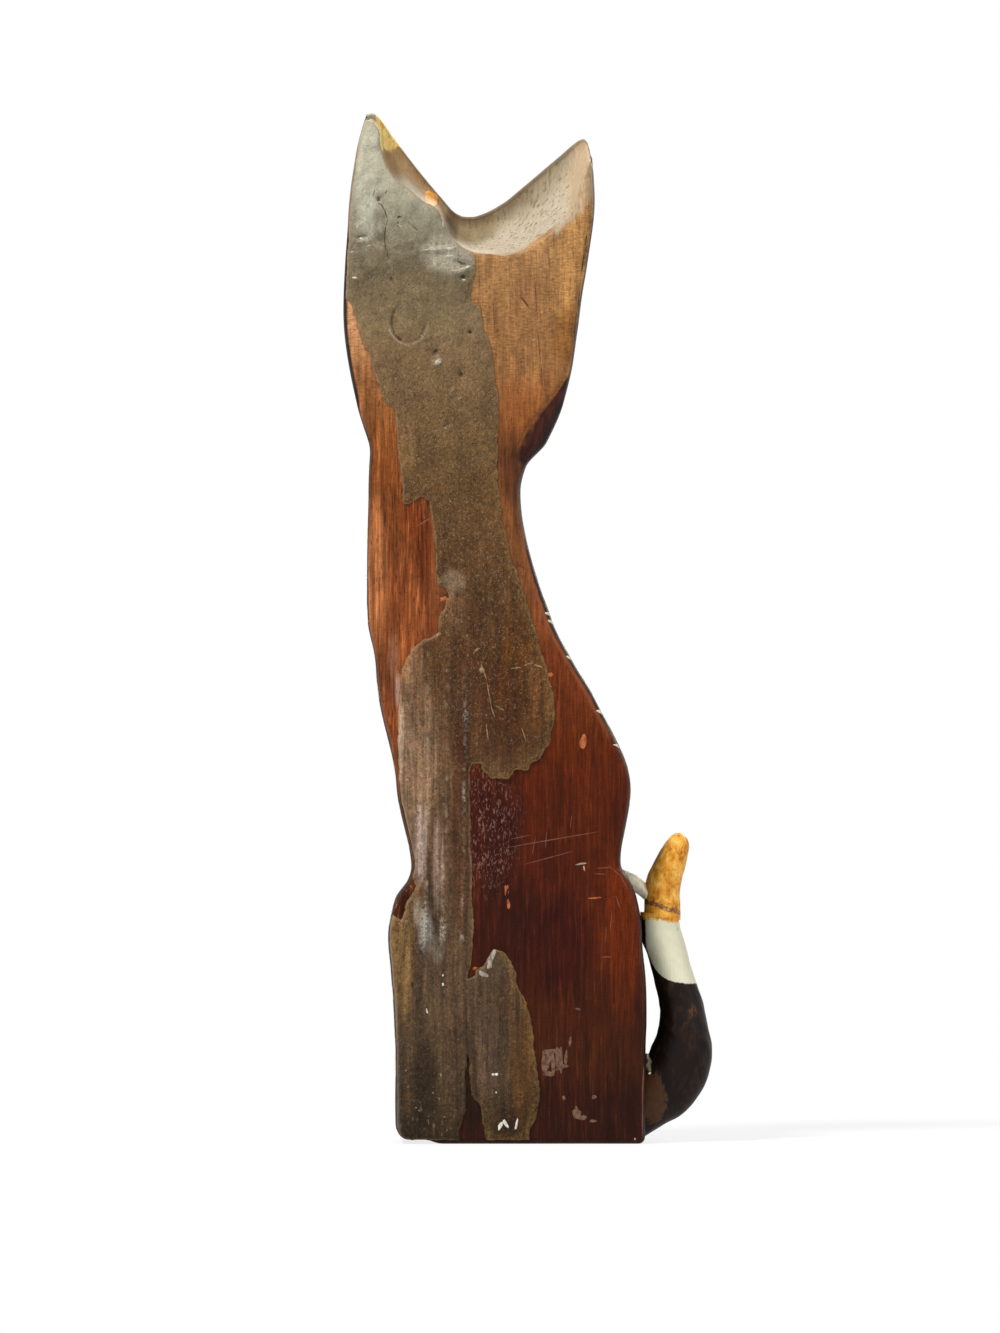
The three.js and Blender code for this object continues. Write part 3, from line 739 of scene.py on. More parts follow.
EAR_LINE_FROM, EAR_LINE_HEIGHT = -11.5, 265.3
JAW_FACET, HEAD_EDGE = (544, 421, 48, 58), (345, 330, 26, 110)
RIGHT_ARRIS, CHEEK_EDGE = (566, 640, 60, 170), (602, 345, 18, 80)


def carved_wood():
    finish = new_finish("carved_wood")
    x, z = finish.places()
    lift, turn, cuts = finish.mark("lift"), finish.mark("turn"), finish.mark("cuts")
    bare, fibres, pores = wood_colour(finish, x, z)
    waver = finish.noise(0.5, 0.18, 3)
    cut = finish.step(lift - 0.12 * waver * finish.step(x, 2.0, -6.0), 0.0, 0.05)
    aside = EAR_LINE_FROM - x
    ragged = 5 * (fibres - 0.5) + 3 * (waver - 0.5)
    over_line = z - EAR_LINE_HEIGHT - 0.73 * aside - 0.028 * aside * aside + ragged
    on_right_ear = finish.step(x, -8.0, -12.0)
    cut = cut + (finish.step(over_line, -0.8, 1.2) - cut) * on_right_ear
    bare = finish.blend(bare, srgb(46, 22, 14), finish.step(cuts, 0.1, 0.35) * 0.6)
    bare = finish.blend(bare, scoop_colour(finish, x, z, lift, fibres, pores), cut)
    ear_edge = finish.step(z, 246.0, 262.0) * finish.step(x, 42.0, 46.0)
    edge_colour = finish.blend(srgb(128, 110, 86), srgb(176, 168, 144), finish.step(z, 286.0, 294.0))
    bare = finish.blend(bare, edge_colour, ear_edge)
    at_jaw = finish.spot(x, z, JAW_FACET, 0.6) * finish.step(turn + 0.3 * (waver - 0.5), -0.15, 0.45)
    at_ear = finish.step(z, 262.0, 275.0) * finish.step(x, 20.0, 40.0)
    at_head = finish.spot(x, z, HEAD_EDGE, 0.4)
    arris = finish.spot(x, z, RIGHT_ARRIS, 0.5) * finish.step(x, 8.0, -2.0)
    at_cheek = finish.spot(x, z, CHEEK_EDGE, 0.8)
    reach = turn + 0.6 * at_jaw + 0.35 * at_head + 0.3 * arris + 0.3 * at_cheek - 0.4 * at_ear
    reach = reach + 0.25 * (waver - 0.5)
    painted = finish.step(reach, 0.5 - 0.4 * at_jaw, 0.78)
    edge_wood = finish.step(turn, 0.01, 0.12) * (1 - painted) * arris
    bare = finish.blend(bare, srgb(146, 84, 48), edge_wood * 0.5)
    worn = finish.step(finish.noise(0.9, 0.5, 4, 0.7), 0.66, 0.72)
    painted = painted * (1 - worn * finish.step(turn, 1.25, 1.0) * 0.6) * (1 - finish.step(lift, 0.1, 0.4))
    maroon = finish.blend(srgb(74, 32, 22), srgb(52, 22, 17), finish.step(waver, 0.4, 0.6))
    paint = finish.blend(paint_colour(finish), maroon, at_jaw * finish.step(turn, 0.95, 0.45))
    colour = finish.blend(bare, paint, painted)
    sheen = finish.noise(0.25, 0.1, 3)
    roughness = 0.3 + 0.2 * sheen + 0.25 * cut * (1 - painted) + 0.1 * pores + 0.2 * painted
    grain = fibres * 0.6 - pores * 0.5 + 0.3 * finish.noise(1.1, 0.5, 3)
    return finish.surface(
        Base_Color=colour, Roughness=roughness, Normal=finish.bump(grain, 0.2), Specular_IOR_Level=0.1)


points, faces, marks = block
make_piece("cat_body", points, faces, carved_wood(), "body", marks)

# %% [markdown]
# A skin of bark still covers part of the back. It is thin, sandy and torn, with a border that wanders down
# the wood. A grid of places is laid on the back, the cells inside the border are kept, and the outermost
# points are moved onto the border itself. Two sheets of it, joined by a wall, make a closed thin flake.

# %% A torn sheet on the back


def inside_distance(x, z, border):
    """Distance to the nearest stretch of a closed border, in mm, positive inside it. A place is inside
    if a line from it crosses the border an odd number of times."""
    starts = np.stack(border, -1)
    nearest, inside = np.full(x.shape, np.inf), np.zeros(x.shape, bool)
    for (ax, az), (bx, bz) in zip(starts, np.roll(starts, -1, 0)):
        run_x, run_z = bx - ax, bz - az
        along = np.clip(((x - ax) * run_x + (z - az) * run_z) / (run_x ** 2 + run_z ** 2), 0, 1)
        nearest = np.minimum(nearest, np.hypot(x - ax - along * run_x, z - az - along * run_z))
        crosses = (az > z) != (bz > z)
        inside ^= crosses & (x < ax + (z - az) * run_x / (run_z or 1))
    return np.where(inside, nearest, -nearest)


bark_margin = smooth_through([0, 70, 80, 112, 130, 225, 245, 300], [0.3, 0.3, 0.8, 0.9, 0.9, 0.9, 0.6, 0.4])
EAR_LEAN = 0.65
# Reach of the four places around each point whose mean height the painted shade and highlight of the relief
# are measured against.
SHADE_REACH = 0.9
BARK_LOWEST, BARK_SINK = 1.2, 0.06


def below_scoop(x, z):
    """Distance below the scoop's lower border: its height less z, times the cosine of the ear's slope."""
    share = (left_edge(z) - x) / (left_edge(z) - right_edge(z))
    return (top_edge(x) - scoop_at(np.clip(share, 0, 1)) - z) * EAR_LEAN


def torn_grid(border, spacing, ragged, seed):
    """Even grid over a border on the picture. Returns x, z, the distance inside and the kept cells; the
    outermost kept points are moved along the distance's slope onto the border."""
    columns, rows = np.array(border, float).T
    outline = from_photo(columns, rows)
    x_marks = np.arange(outline[0].min() - spacing, outline[0].max() + spacing, spacing)
    z_marks = np.arange(0, outline[1].max() + spacing, spacing)
    x, z = np.meshgrid(x_marks, z_marks, indexing="ij")
    tear = ragged * (hills(x / 2.2, z / 2.6, seed) + 0.7 * hills(x / 0.9, z / 1.0, seed + 1))
    inside = inside_distance(x, z, outline) + tear
    left = left_edge(z) - edge_drop(z - UNDERCUT_RISE, LEFT_BASE_ROUND, ROUND_POWER)
    inside = np.minimum(inside, left - bark_margin(z) - x + 0.5 * tear)
    inside = np.minimum(inside, np.minimum(z - BARK_LOWEST + 0.5 * tear, below_scoop(x, z)))
    kept = (inside[:-1, :-1] + inside[1:, :-1] + inside[1:, 1:] + inside[:-1, 1:]) > 0
    uses = sum(np.pad(kept, ((a, 1 - a), (b, 1 - b))).astype(int) for a in (0, 1) for b in (0, 1))
    outermost = (uses > 0) & (uses < 4)
    slope_x, slope_z = np.gradient(inside, spacing)
    steep = np.maximum(slope_x ** 2 + slope_z ** 2, 0.3)
    shift = np.clip(np.where(outermost, inside, 0) / steep, -0.8 * spacing, 0.8 * spacing)
    return x - shift * slope_x, z - shift * slope_z, np.where(outermost, 0, np.maximum(inside, 0)), kept


def sheet_faces(kept):
    """Numbers of the kept points and the faces of a closed sheet: kept cells on top, the same cells
    turned over below, and a wall under each top edge that no other top cell shares."""
    rows = kept.shape[1] + 1
    i, j = np.nonzero(kept)
    top = np.stack([i * rows + j, i * rows + j + 1, (i + 1) * rows + j + 1, (i + 1) * rows + j], -1)
    used, top = np.unique(top, return_inverse=True)
    top = top.reshape(-1, 4)
    count = len(used)
    edges = np.stack([top, np.roll(top, -1, 1)], -1).reshape(-1, 2)
    alone = edges[~np.isin(edges[:, 0] * count + edges[:, 1], edges[:, 1] * count + edges[:, 0])]
    walls = np.stack([alone[:, 1], alone[:, 0], alone[:, 0] + count, alone[:, 1] + count], -1)
    return used, np.concatenate([top, top[:, ::-1] + count, walls]).tolist()


def torn_sheet(name, border, spacing, ragged, rise, finish, stands_for, seed):
    """Closed flake on the back: its underside follows the wood, and its top stands rise(x, z, inside)
    over it. A further mark holds a place's height over the mean of four places close by, from which the
    bark's finish paints shade into the hollows and highlight onto the ridges."""
    x, z, inside, kept = torn_grid(border, spacing, ragged, seed)
    used, faces = sheet_faces(kept)
    x, z, inside = x.ravel()[used], z.ravel()[used], inside.ravel()[used]
    seat = back_depth(x, z)
    stands = rise(x, z, inside)
    beside = [(SHADE_REACH, 0), (-SHADE_REACH, 0), (0, SHADE_REACH), (0, -SHADE_REACH)]
    relief_shade = stands - sum(rise(x + across, z + up, inside) for across, up in beside) / len(beside)
    top = np.stack([x, seat + stands, z], -1)
    under = np.stack([x, seat - BARK_SINK, z], -1)
    marks = {mark: np.concatenate([values, 0 * values])
             for mark, values in {"inside": inside, "rise": stands, "relief_shade": relief_shade}.items()}
    return make_piece(name, np.concatenate([top, under]), faces, finish, stands_for, marks)


square = (np.array([-2.0, 2, 2, -2]), np.array([-2.0, -2, 2, 2]))
square_middle = inside_distance(np.zeros(1), np.zeros(1), square)[0]
print("torn sheet: the middle of a 4 mm square is", square_middle, "mm inside")

# %% [markdown]
# The bark's relief is real: cracks and pits below the left ear, a dish where a twig grew, dents, flutes that
# run up the haunch, and a sandy surface all over. The flake at the bottom lifts off the wood at its peak.
# Along the seam between the two sheets the borders lap and stay closed, because the real flake still lies
# against the skin there.

# %% Shape of the bark
MAIN_BARK_BORDER = [
    (371, 100), (440, 180), (456, 215), (475, 255), (475.5, 276), (471, 287), (470, 300), (475.5, 304),
    (481, 307), (483, 321), (485, 333), (491, 346), (493, 360), (495, 377), (497, 394), (499, 412),
    (498, 440), (497, 470), (502, 518), (513, 562), (524, 591), (536, 633), (545, 664), (554, 694),
    (555, 712), (550, 742), (540, 758), (531, 763), (528, 770), (515, 771), (509, 779), (492, 779),
    (482, 769), (481, 763), (473, 763), (470, 769), (470, 800), (473, 930), (471, 965), (469, 977),
    (469, 1048), (466, 1060), (465, 1079), (466, 1110), (459, 1128), (458, 1148), (376, 1148),
    (376, 924), (391, 912), (396, 917), (401, 921), (404, 912), (408, 902), (412, 893), (416, 886),
    (413, 877), (396, 870), (395, 830), (399, 764), (397, 720), (402, 669), (406, 659), (412, 649),
    (423, 640), (439, 633), (440, 613), (444, 608), (449, 597), (445, 588), (439, 585), (437, 576),
    (435, 546), (432, 515), (429, 502), (422, 496), (413, 500), (410, 504), (403, 504), (399, 455),
    (396, 423), (395, 410), (384, 402), (379, 387), (373, 369), (367, 352), (362, 341), (355, 316),
    (351, 303), (344, 296), (336, 290), (336, 200), (352, 104),
]
FLAKE_BORDER = [
    (493, 948), (505, 953), (514, 966), (517, 983), (523, 996), (530, 1011), (532, 1025), (535, 1054),
    (539, 1080), (540, 1096), (536, 1117), (530, 1130), (529, 1148), (487, 1148), (483, 1123),
    (481, 1106), (472, 1096), (469.4, 1076), (468.4, 1058), (466.5, 1050), (466.5, 979), (475.6, 976),
    (476.5, 970), (483, 967),
]
BARK_THICKNESS, BARK_EDGE, BARK_THINNEST = 0.85, 0.16, 0.1
BARK_ROUNDING, FLAKE_ROUNDING = 0.45, 0.35
# Rows: column, row, half length, half width, turn in degrees, depth or height in mm.
BARK_PITS = [
    (384, 210, 9, 4, -75, 0.3), (385, 235, 24, 2.4, -86, 0.3), (398, 217, 8, 3, 70, 0.3),
    (378, 198, 4, 3, 30, 0.4), (391, 279, 3, 1.8, 90, 0.4), (463, 277, 3, 2.2, 0, 0.6),
    (436, 351, 5, 4, 50, 0.8), (461, 374, 3.4, 5, 0, 0.7), (470, 332, 3, 2.5, 0, 0.5),
    (446, 425, 5, 2.2, 20, 0.4), (430, 880, 44, 1.6, -85, 0.35), (412, 985, 4, 2, 80, 0.45),
    (427, 1012, 5, 2, 80, 0.4), (459, 262, 9, 2.2, -18, 0.4), (362, 236, 8, 2, 10, 0.4),
    (415, 228, 7, 2, -40, 0.35),
]
BARK_LUMPS = [
    (438, 362, 6, 3.4, 20, 0.7), (440, 249, 17, 3.2, 5, 0.9), (452, 257, 5, 9, 0, 0.7),
    (461, 270, 9, 3, 20, 0.8), (408, 240, 8, 4, 30, 0.35), (425, 247, 9, 3, 0, 0.3),
    (451, 581, 9, 4, -20, 0.15), (424, 928, 6, 26, -14, 0.45), (440, 895, 5, 40, 0, 0.35),
    (362, 241, 9, 2.2, 10, 0.4), (452, 391, 5, 2.4, 40, 0.35), (460, 398, 4, 2, 30, 0.3),
    (414, 205, 20, 5, -38, 0.3),
]
KNOT_COLUMN, KNOT_ROW, KNOT_RADIUS = 408, 322, 5.6


def bark_relief(x, z):
    """Lumps, pits, a dished knot, flutes and sand, added up in mm."""
    knot_x, knot_z = from_photo(KNOT_COLUMN, KNOT_ROW)
    from_knot = np.hypot((x - knot_x) * 1.05, (z - knot_z) * 0.88) - KNOT_RADIUS
    open_side = smooth_step(-0.2, 0.9, (knot_z - z + 0.5 * (x - knot_x)) / KNOT_RADIUS + 0.9)
    dish = -0.6 * open_side * smooth_step(0.35, -0.55, from_knot) * smooth_step(-5.2, -0.6, from_knot)
    on_haunch = smooth_step(48, 62, z) * smooth_step(175, 130, z) * smooth_step(9, 16, x)
    bend = 1.2 * hills(z / 30, 0.5, 51)
    flutes = 0.34 * on_haunch * np.cos(2 * np.pi * (x + bend) / 5.4)
    crown_lumps = 0.4 * smooth_step(240, 262, z) * hills(x / 3.4, z / 2.8, 52)
    broad = 0.26 * hills(x / 6, z / 10, 53) + 0.16 * hills(x / 2.1, z / 2.6, 54)
    sand = 0.06 * hills(x / 0.9, z / 0.9, 55)
    crumbs = 0.17 * smooth_step(26, 8, z) * hills(x / 1.2, z / 2.6, 59)
    lumps = pits(x, z, BARK_LUMPS) - pits(x, z, BARK_PITS)
    return lumps + dish + flutes + crown_lumps + broad + sand + crumbs


FLAKE_PEAK = (493, 952)
SEAM_COLUMN, SEAM_TOP_ROW, SEAM_LOW_ROW = 467.8, 978, 1056
seam_x, seam_top = from_photo(SEAM_COLUMN, SEAM_TOP_ROW)
seam_low = from_photo(SEAM_COLUMN, SEAM_LOW_ROW)[1]


def shoulder_at(x, z, inside, rounding):
    """Zero at the border and one inside, as 1 - exp(-inside / rounding); one all along the closed seam."""
    along = smooth_step(seam_low - 2, seam_low + 2, z) * smooth_step(seam_top + 1, seam_top - 1, z)
    closed = along * np.exp(-((x - seam_x) / 1.2) ** 2)
    return 1 - np.exp(-inside / rounding) * (1 - closed)


def bark_rise(x, z, inside):
    """Thickness that rounds off within a millimetre of the border, and the relief inside it."""
    shoulder = shoulder_at(x, z, inside, BARK_ROUNDING)
    thickness = BARK_THICKNESS * (1 + 0.25 * hills(x / 5, z / 6, 56))
    return np.maximum(BARK_EDGE + shoulder * (thickness - BARK_EDGE + bark_relief(x, z)), BARK_THINNEST)


def flake_rise(x, z, inside):
    """A flake with a streaky grain, and a lift that falls away from its peak as exp(-(a^2 + b^2))."""
    peak_x, peak_z = from_photo(*FLAKE_PEAK)
    near_peak = np.exp(-(((x - peak_x) / 5) ** 2 + ((z - peak_z) / 12) ** 2))
    shoulder = shoulder_at(x, z, inside, FLAKE_ROUNDING)
    grain = 0.22 * hills(x / 1.9, z / 22, 57) + 0.08 * hills(x / 0.9, z / 1.2, 58)
    return 0.25 + shoulder * (0.55 + 0.7 * near_peak + grain)


peak_rise = flake_rise(*from_photo(*FLAKE_PEAK), 3.0)
print("bark: the flake's peak stands", round(float(peak_rise), 2), "mm over the wood")

# %% [markdown]
# Bark colour goes with height too: pale grey-green on the ear, olive-grey on the head, brown down the back
# and dark at the base. The sand is speckles of light and dark well under a millimetre, and long streaks
# show where the flutes are. Broken borders are lighter, partly as a painted highlight on their lit edge,
# which the mark called inside gives. A mark of each place's height over its neighbours gives painted shade
# in the hollows and painted highlight on the ridges. The mark called rise finds the highest places, which
# are lightened both as rubbed tops and as a painted highlight.

# %% Finish of the bark
BARK_SHEEN = 0.011
BARK_BY_HEIGHT = [
    (0, (53, 41, 30)), (20, (76, 60, 45)), (50, (86, 68, 51)), (80, (94, 70, 51)), (110, (97, 71, 50)),
    (140, (88, 60, 39)), (170, (90, 64, 42)), (193, (95, 71, 47)), (202, (99, 76, 51)),
    (211, (105, 82, 56)), (220, (111, 88, 62)), (230, (119, 95, 68)), (238, (122, 102, 75)),
    (246, (111, 96, 73)), (254, (106, 94, 73)), (262, (123, 114, 94)), (272, (146, 140, 120)),
    (286, (178, 173, 151)),
]
BARK_ZONES = [
    # column, row, half width, half height, how much, colour
    (520, 690, 45, 105, 0.85, (78, 49, 27)),       # rusty belly
    (472, 705, 30, 100, 0.75, (74, 48, 33)),       # dark fold
    (500, 715, 28, 72, 0.4, (58, 33, 17)),         # darker middle of the belly
    (541, 680, 17, 66, 0.75, (112, 74, 44)),       # golden right border
    (416, 766, 30, 104, 0.78, (142, 112, 86)),     # pale left border
    (413, 712, 13, 26, 0.4, (92, 62, 42)),         # dull patch on it
    (412, 668, 18, 30, 0.35, (160, 120, 88)),      # pale bulge above it
    (401, 740, 5, 52, 0.6, (180, 154, 130)),       # scuffed edge, partly a painted sheen
    (461, 830, 12, 150, 0.6, (66, 38, 19)),        # brown right border
    (462, 735, 10, 48, 0.45, (60, 36, 20)),        # its upper end
    (402, 945, 16, 95, 0.75, (122, 93, 58)),       # golden edge of the haunch
    (424, 1090, 18, 66, 0.75, (42, 34, 25)),       # dark damp band
    (421, 842, 9, 50, 0.65, (160, 140, 130)),      # pale flute: painted highlight on its ridge
    (438, 864, 8, 62, 0.6, (148, 124, 108)),       # second flute beside it: painted highlight on its ridge
    (428.5, 862, 2.8, 52, 0.6, (68, 46, 34)),      # groove between them
    (418, 914, 7, 20, 0.45, (158, 144, 126)),      # grey glint, in three slanting spots
    (426, 931, 10, 26, 0.5, (164, 158, 148)),
    (438, 950, 8, 18, 0.3, (146, 136, 122)),
    (452, 1010, 14, 90, 0.4, (98, 72, 54)),        # brown stripe beside it
    (526, 1065, 20, 95, 0.65, (82, 54, 31)),       # golden side of the flake
    (506, 1000, 13, 34, 0.4, (70, 44, 20)),        # brown below its peak
    (508, 1122, 18, 28, 0.45, (58, 38, 20)),       # dark foot of the flake
    (488, 1060, 16, 50, 0.5, (98, 76, 63)),        # dusty middle of the flake
    (452, 582, 17, 16, 0.3, (164, 142, 118)),      # chalky rub
    (455, 608, 13, 30, 0.3, (140, 104, 76)),       # pale tail below it
    (477, 610, 13, 34, 0.35, (56, 36, 22)),        # dark grain beside it
    (477, 490, 14, 32, 0.35, (62, 42, 24)),        # dark grain higher up
    (407, 450, 11, 38, 0.4, (150, 112, 74)),       # pale edge by the neck
    (366, 200, 12, 60, 0.5, (186, 184, 164)),      # grey-green ear
    (450, 254, 34, 26, 0.6, (182, 174, 154)),      # pale patch under the scoop: painted sheen
    (408, 288, 34, 24, 0.4, (124, 104, 76)),       # dull cheek
]


PEAK_ZONE, SEAM_ZONE = (497, 965, 22, 30), (468, 1015, 9, 52)
WET_HAUNCH, WET_CROWN = (426, 930, 12, 36), (452, 258, 30, 20)


def bark():
    finish = new_finish("bark")
    x, z = finish.places()
    inside, rise, relief_shade = finish.mark("inside"), finish.mark("rise"), finish.mark("relief_shade")
    sand = finish.noise(1.15, 1.05, 4, 0.72, 1.0)
    grit = finish.noise(1.7, 1.4, 2, 0.6, 1.3)
    streaks = finish.noise(0.5, 0.02, 5, 0.68, 0.5)
    threads = finish.noise(0.8, 0.06, 5, 0.76, 0.6)
    patches = finish.noise(0.42, 0.36, 4, 0.6, 0.6)
    clouds = finish.noise(0.16, 0.1, 4, 0.6)
    on_ear = finish.step(z, 250.0, 278.0)
    on_head = finish.step(z, 212.0, 240.0)
    on_back = finish.step(z, 205.0, 140.0)
    sandy = finish.step(z, 95.0, 150.0) * (1 - 0.7 * finish.step(z, 215.0, 245.0))
    colour = height_ramp(finish, z, BARK_BY_HEIGHT, BARK_SHEEN)
    colour = zones(finish, x, z, colour, BARK_ZONES, BARK_SHEEN, streaks)
    olive_rim = finish.step(inside, 2.6, 0.8) * finish.step(x, 16.0, 4.0) * finish.step(z, 215.0, 190.0)
    colour = finish.blend(
        colour, srgb(110, 84, 48, BARK_SHEEN), olive_rim * finish.step(sand, 0.3, 0.6) * 0.6)
    colour = finish.tones(
        colour, (streaks, 0.2 + 0.9 * on_back), (threads, 1.3 * on_back),
        (sand, 1.3 - 0.4 * on_head - 0.4 * on_ear), (patches, 0.4 - 0.25 * on_ear),
        (clouds, 0.5 - 0.25 * on_ear))
    within = finish.step(inside, 0.4, 1.3)
    # Lightest on the highest lumps: rubbed tops, and a painted highlight for the glints they catch.
    rubbed = finish.step(rise, 1.2, 1.8) * finish.step(grit, 0.46, 0.6) * within
    rubbed = rubbed * (1 - finish.spot(x, z, PEAK_ZONE, 0.3))
    # Lighter along the border: broken edges, and a painted highlight on the lit edge of the raised skin.
    rim = finish.step(inside, 0.8, 0.1) * finish.step(sand, 0.3, 0.55)
    rim = rim * (1 - finish.spot(x, z, SEAM_ZONE, 0.4))
    colour = finish.layers(
        colour, (srgb(180, 158, 118), finish.step(grit, 0.56, 0.7) * (0.12 + 0.2 * sandy)),
        (srgb(24, 17, 10), finish.step(grit, 0.44, 0.32) * (0.5 - 0.2 * on_head - 0.2 * on_ear)),
        # Painted shade in the hollows and painted highlight on the ridges of the relief.
        (srgb(34, 25, 17), finish.step(relief_shade, -0.04, -0.3) * within * 0.85),
        (srgb(196, 184, 158), finish.step(relief_shade, 0.05, 0.3) * within * 0.5),
        (srgb(206, 202, 190), rubbed * 0.55),
        (srgb(158, 126, 88), rim * (0.16 + 0.34 * finish.step(z, 15.0, 60.0))))
    soft_sand = finish.noise(1.15, 1.05, 1.5, 0.5, 1.0)
    soft_threads = finish.noise(0.8, 0.06, 1)
    height = soft_sand + 0.5 * soft_threads * on_back + 0.4 * patches
    wet = finish.spot(x, z, WET_HAUNCH, 1.0) + finish.spot(x, z, WET_CROWN, 1.0)
    return finish.surface(
        Base_Color=colour, Roughness=0.2 + 0.35 * sand, Normal=finish.bump(height, 0.3),
        Specular_IOR_Level=0.14, Coat_Weight=0.4 * wet * finish.step(sand, 0.4, 0.6), Coat_Roughness=0.2)


bark_finish = bark()
torn_sheet("bark_main", MAIN_BARK_BORDER, 0.5, 0.3, bark_rise, bark_finish, "bark_skin_main", 61)
torn_sheet("bark_flake", FLAKE_BORDER, 0.45, 0.25, flake_rise, bark_finish, "bark_skin_lower", 71)

# %% [markdown]
# The tail is a separate limb, pegged into the right flank at its foot, and glued to the body higher up where
# the two touch. Its free end is a second piece, pinned and glued on. Each is an oval section carried between
# two contours seen on the picture, an inner and an outer one, so that its outline follows the real limb.

# %% The tail's shape
TAIL_MARKS = np.array([
    # inner column and row, outer column and row, half depth in mm
    (643, 1064, 643, 1140, 6.6), (649, 1056, 664, 1128, 6.8), (653, 1046, 686, 1114, 6.9),
    (658, 1036, 701, 1096, 7.0), (660, 1024, 710, 1075, 7.0), (660.5, 1012, 713.5, 1053, 6.8),
    (659.5, 1002, 710, 1032, 6.3), (657, 990, 705, 1008, 5.8), (653, 974, 698, 985, 5.4),
    (648, 956, 690.5, 962, 5.1), (643.5, 944, 685.5, 944, 5.0), (641.5, 930, 681.5, 930, 4.9),
    (641, 913, 680, 916, 4.8),
])
TIP_MARKS = np.array([
    (644.5, 917, 681.5, 921, 5.1), (645, 905, 681, 908, 4.8), (645.5, 890, 681, 893, 4.7),
    (648, 878, 683, 881, 4.5), (653, 866, 686, 868, 4.2), (658, 857, 688.5, 857, 3.8),
    (663, 848, 690, 847, 3.3), (667.5, 842, 688.8, 841, 2.7), (671, 837.5, 686, 836.5, 1.9),
    (676, 834, 681.5, 833.5, 0.7),
])
TAIL_DEPTH = 4.0
TAIL_SIDES = 56
FLANK_GAP = 0.1


def limb(marks, rings, seed):
    """Rings between an inner and an outer contour: the middle, plus cos(a) of half the way across and
    -sin(a) of the half depth along y, with the knife's facets as hills over the angle and the length."""
    place = np.linspace(0, len(marks) - 1, rings)
    curves = [smooth_through(np.arange(len(marks)), values)(place)[:, None] for values in marks.T]
    inner_x, inner_z = from_photo(curves[0], curves[1])
    outer_x, outer_z = from_photo(curves[2], curves[3])
    angle = 2 * np.pi * np.arange(TAIL_SIDES) / TAIL_SIDES
    facets = 1 + 0.022 * hills(np.cos(angle) * 2 + 7, place[:, None] * 1.8 + np.sin(angle) * 2, seed)
    out = facets * np.cos(angle) / 2
    x = (inner_x + outer_x) / 2 + (outer_x - inner_x) * out
    z = (inner_z + outer_z) / 2 + (outer_z - inner_z) * out
    y = TAIL_DEPTH - curves[4] * facets * np.sin(angle)
    return np.stack([np.minimum(x, right_edge(z) - FLANK_GAP), y, z], -1)


tail_rings = limb(TAIL_MARKS, 150, 81)
tip_rings = limb(TIP_MARKS, 90, 82)
print("tail: from", tail_rings.reshape(-1, 3).min(0).round(1), "to", tip_rings.reshape(-1, 3).max(0).round(1))

# %% [markdown]
# The limb is black, with a cream band whose lower border slants in a curve, and which stops short of the
# inner side. Its foot was left bare where glue ran over it. The gold end is mottled, dabbed on over brown,
# with a dull ring above the ragged border where it meets the cream.

# %% Finishes of the tail
TAIL_MIDDLE = -41.5
BAND_HEIGHT, BAND_GROWTH = 46.2, 1.3956
BARE_FOOT, RUBBED_BEND = (652, 1099, 20, 34), (693, 1012, 6, 9)


def gold_colour(finish, mottle, flecks):
    colour = finish.ramp(
        mottle, (0.28, srgb(150, 80, 14)), (0.42, srgb(212, 136, 36)), (0.56, srgb(242, 174, 66)),
        (0.72, srgb(255, 218, 126)))
    return finish.blend(colour, srgb(120, 62, 16), finish.step(flecks, 0.40, 0.30) * 0.5)


def tail_paint():
    finish = new_finish("tail_paint")
    x, z = finish.places()
    brushed = finish.noise(0.5, 0.25, 4, 0.6)
    fine = finish.noise(1.6, 0.5, 3)
    across = x - TAIL_MIDDLE
    black = finish.blend(srgb(24, 15, 11), srgb(48, 30, 21), finish.step(brushed, 0.45, 0.75))
    cream = finish.blend(srgb(220, 216, 187), srgb(228, 225, 198), brushed)
    border = BAND_HEIGHT + 2.2 * BAND_GROWTH ** across + 0.9 * (fine - 0.5)
    band = finish.step(z - border, -0.2, 0.2) * finish.step(x + 0.8 * (brushed - 0.5), -36.3, -36.9)
    colour = finish.blend(black, cream, band)
    foot = finish.spot(x, z, BARE_FOOT, 1.0) + 1.6 * (brushed - 0.5) + 0.8 * (fine - 0.5)
    rubbed = finish.spot(x, z, RUBBED_BEND, 0.9) * finish.step(fine, 0.4, 0.6)
    colour = finish.layers(
        colour, (srgb(78, 50, 30), finish.step(foot, 0.25, 0.6)), (srgb(96, 60, 36), rubbed * 0.7))
    colour = finish.tones(colour, (fine, 0.3 - 0.2 * band))
    over_cream = z - 64.7 - 0.1 * across + 3.4 * (fine - 0.5)
    gold = gold_colour(finish, finish.noise(0.5, 0.3, 5, 0.65), finish.noise(1.3, 1.0, 2))
    colour = finish.blend(colour, gold, finish.step(over_cream, -0.15, 0.15))
    height = brushed * 0.6 + fine * 0.4
    return finish.surface(
        Base_Color=colour, Roughness=0.28 + 0.25 * brushed, Normal=finish.bump(height, 0.2),
        Specular_IOR_Level=0.12)


def gold_paint():
    finish = new_finish("gold_paint")
    x, z = finish.places()
    mottle = finish.noise(0.5, 0.3, 5, 0.65)
    flecks = finish.noise(1.3, 1.0, 2)
    colour = gold_colour(finish, mottle, flecks)
    ring = z - 68.7 - 0.33 * (x - TAIL_MIDDLE) + 2.4 * (mottle - 0.5)
    ring = finish.step(ring, -0.9, -0.5) * finish.step(ring, 0.9, 0.5) * finish.step(flecks, 0.36, 0.46)
    colour = finish.blend(colour, srgb(112, 72, 54), ring * 0.9)
    return finish.surface(
        Base_Color=colour, Roughness=0.22 + 0.25 * mottle, Normal=finish.bump(mottle + 0.4 * flecks, 0.5),
        Specular_IOR_Level=0.2)


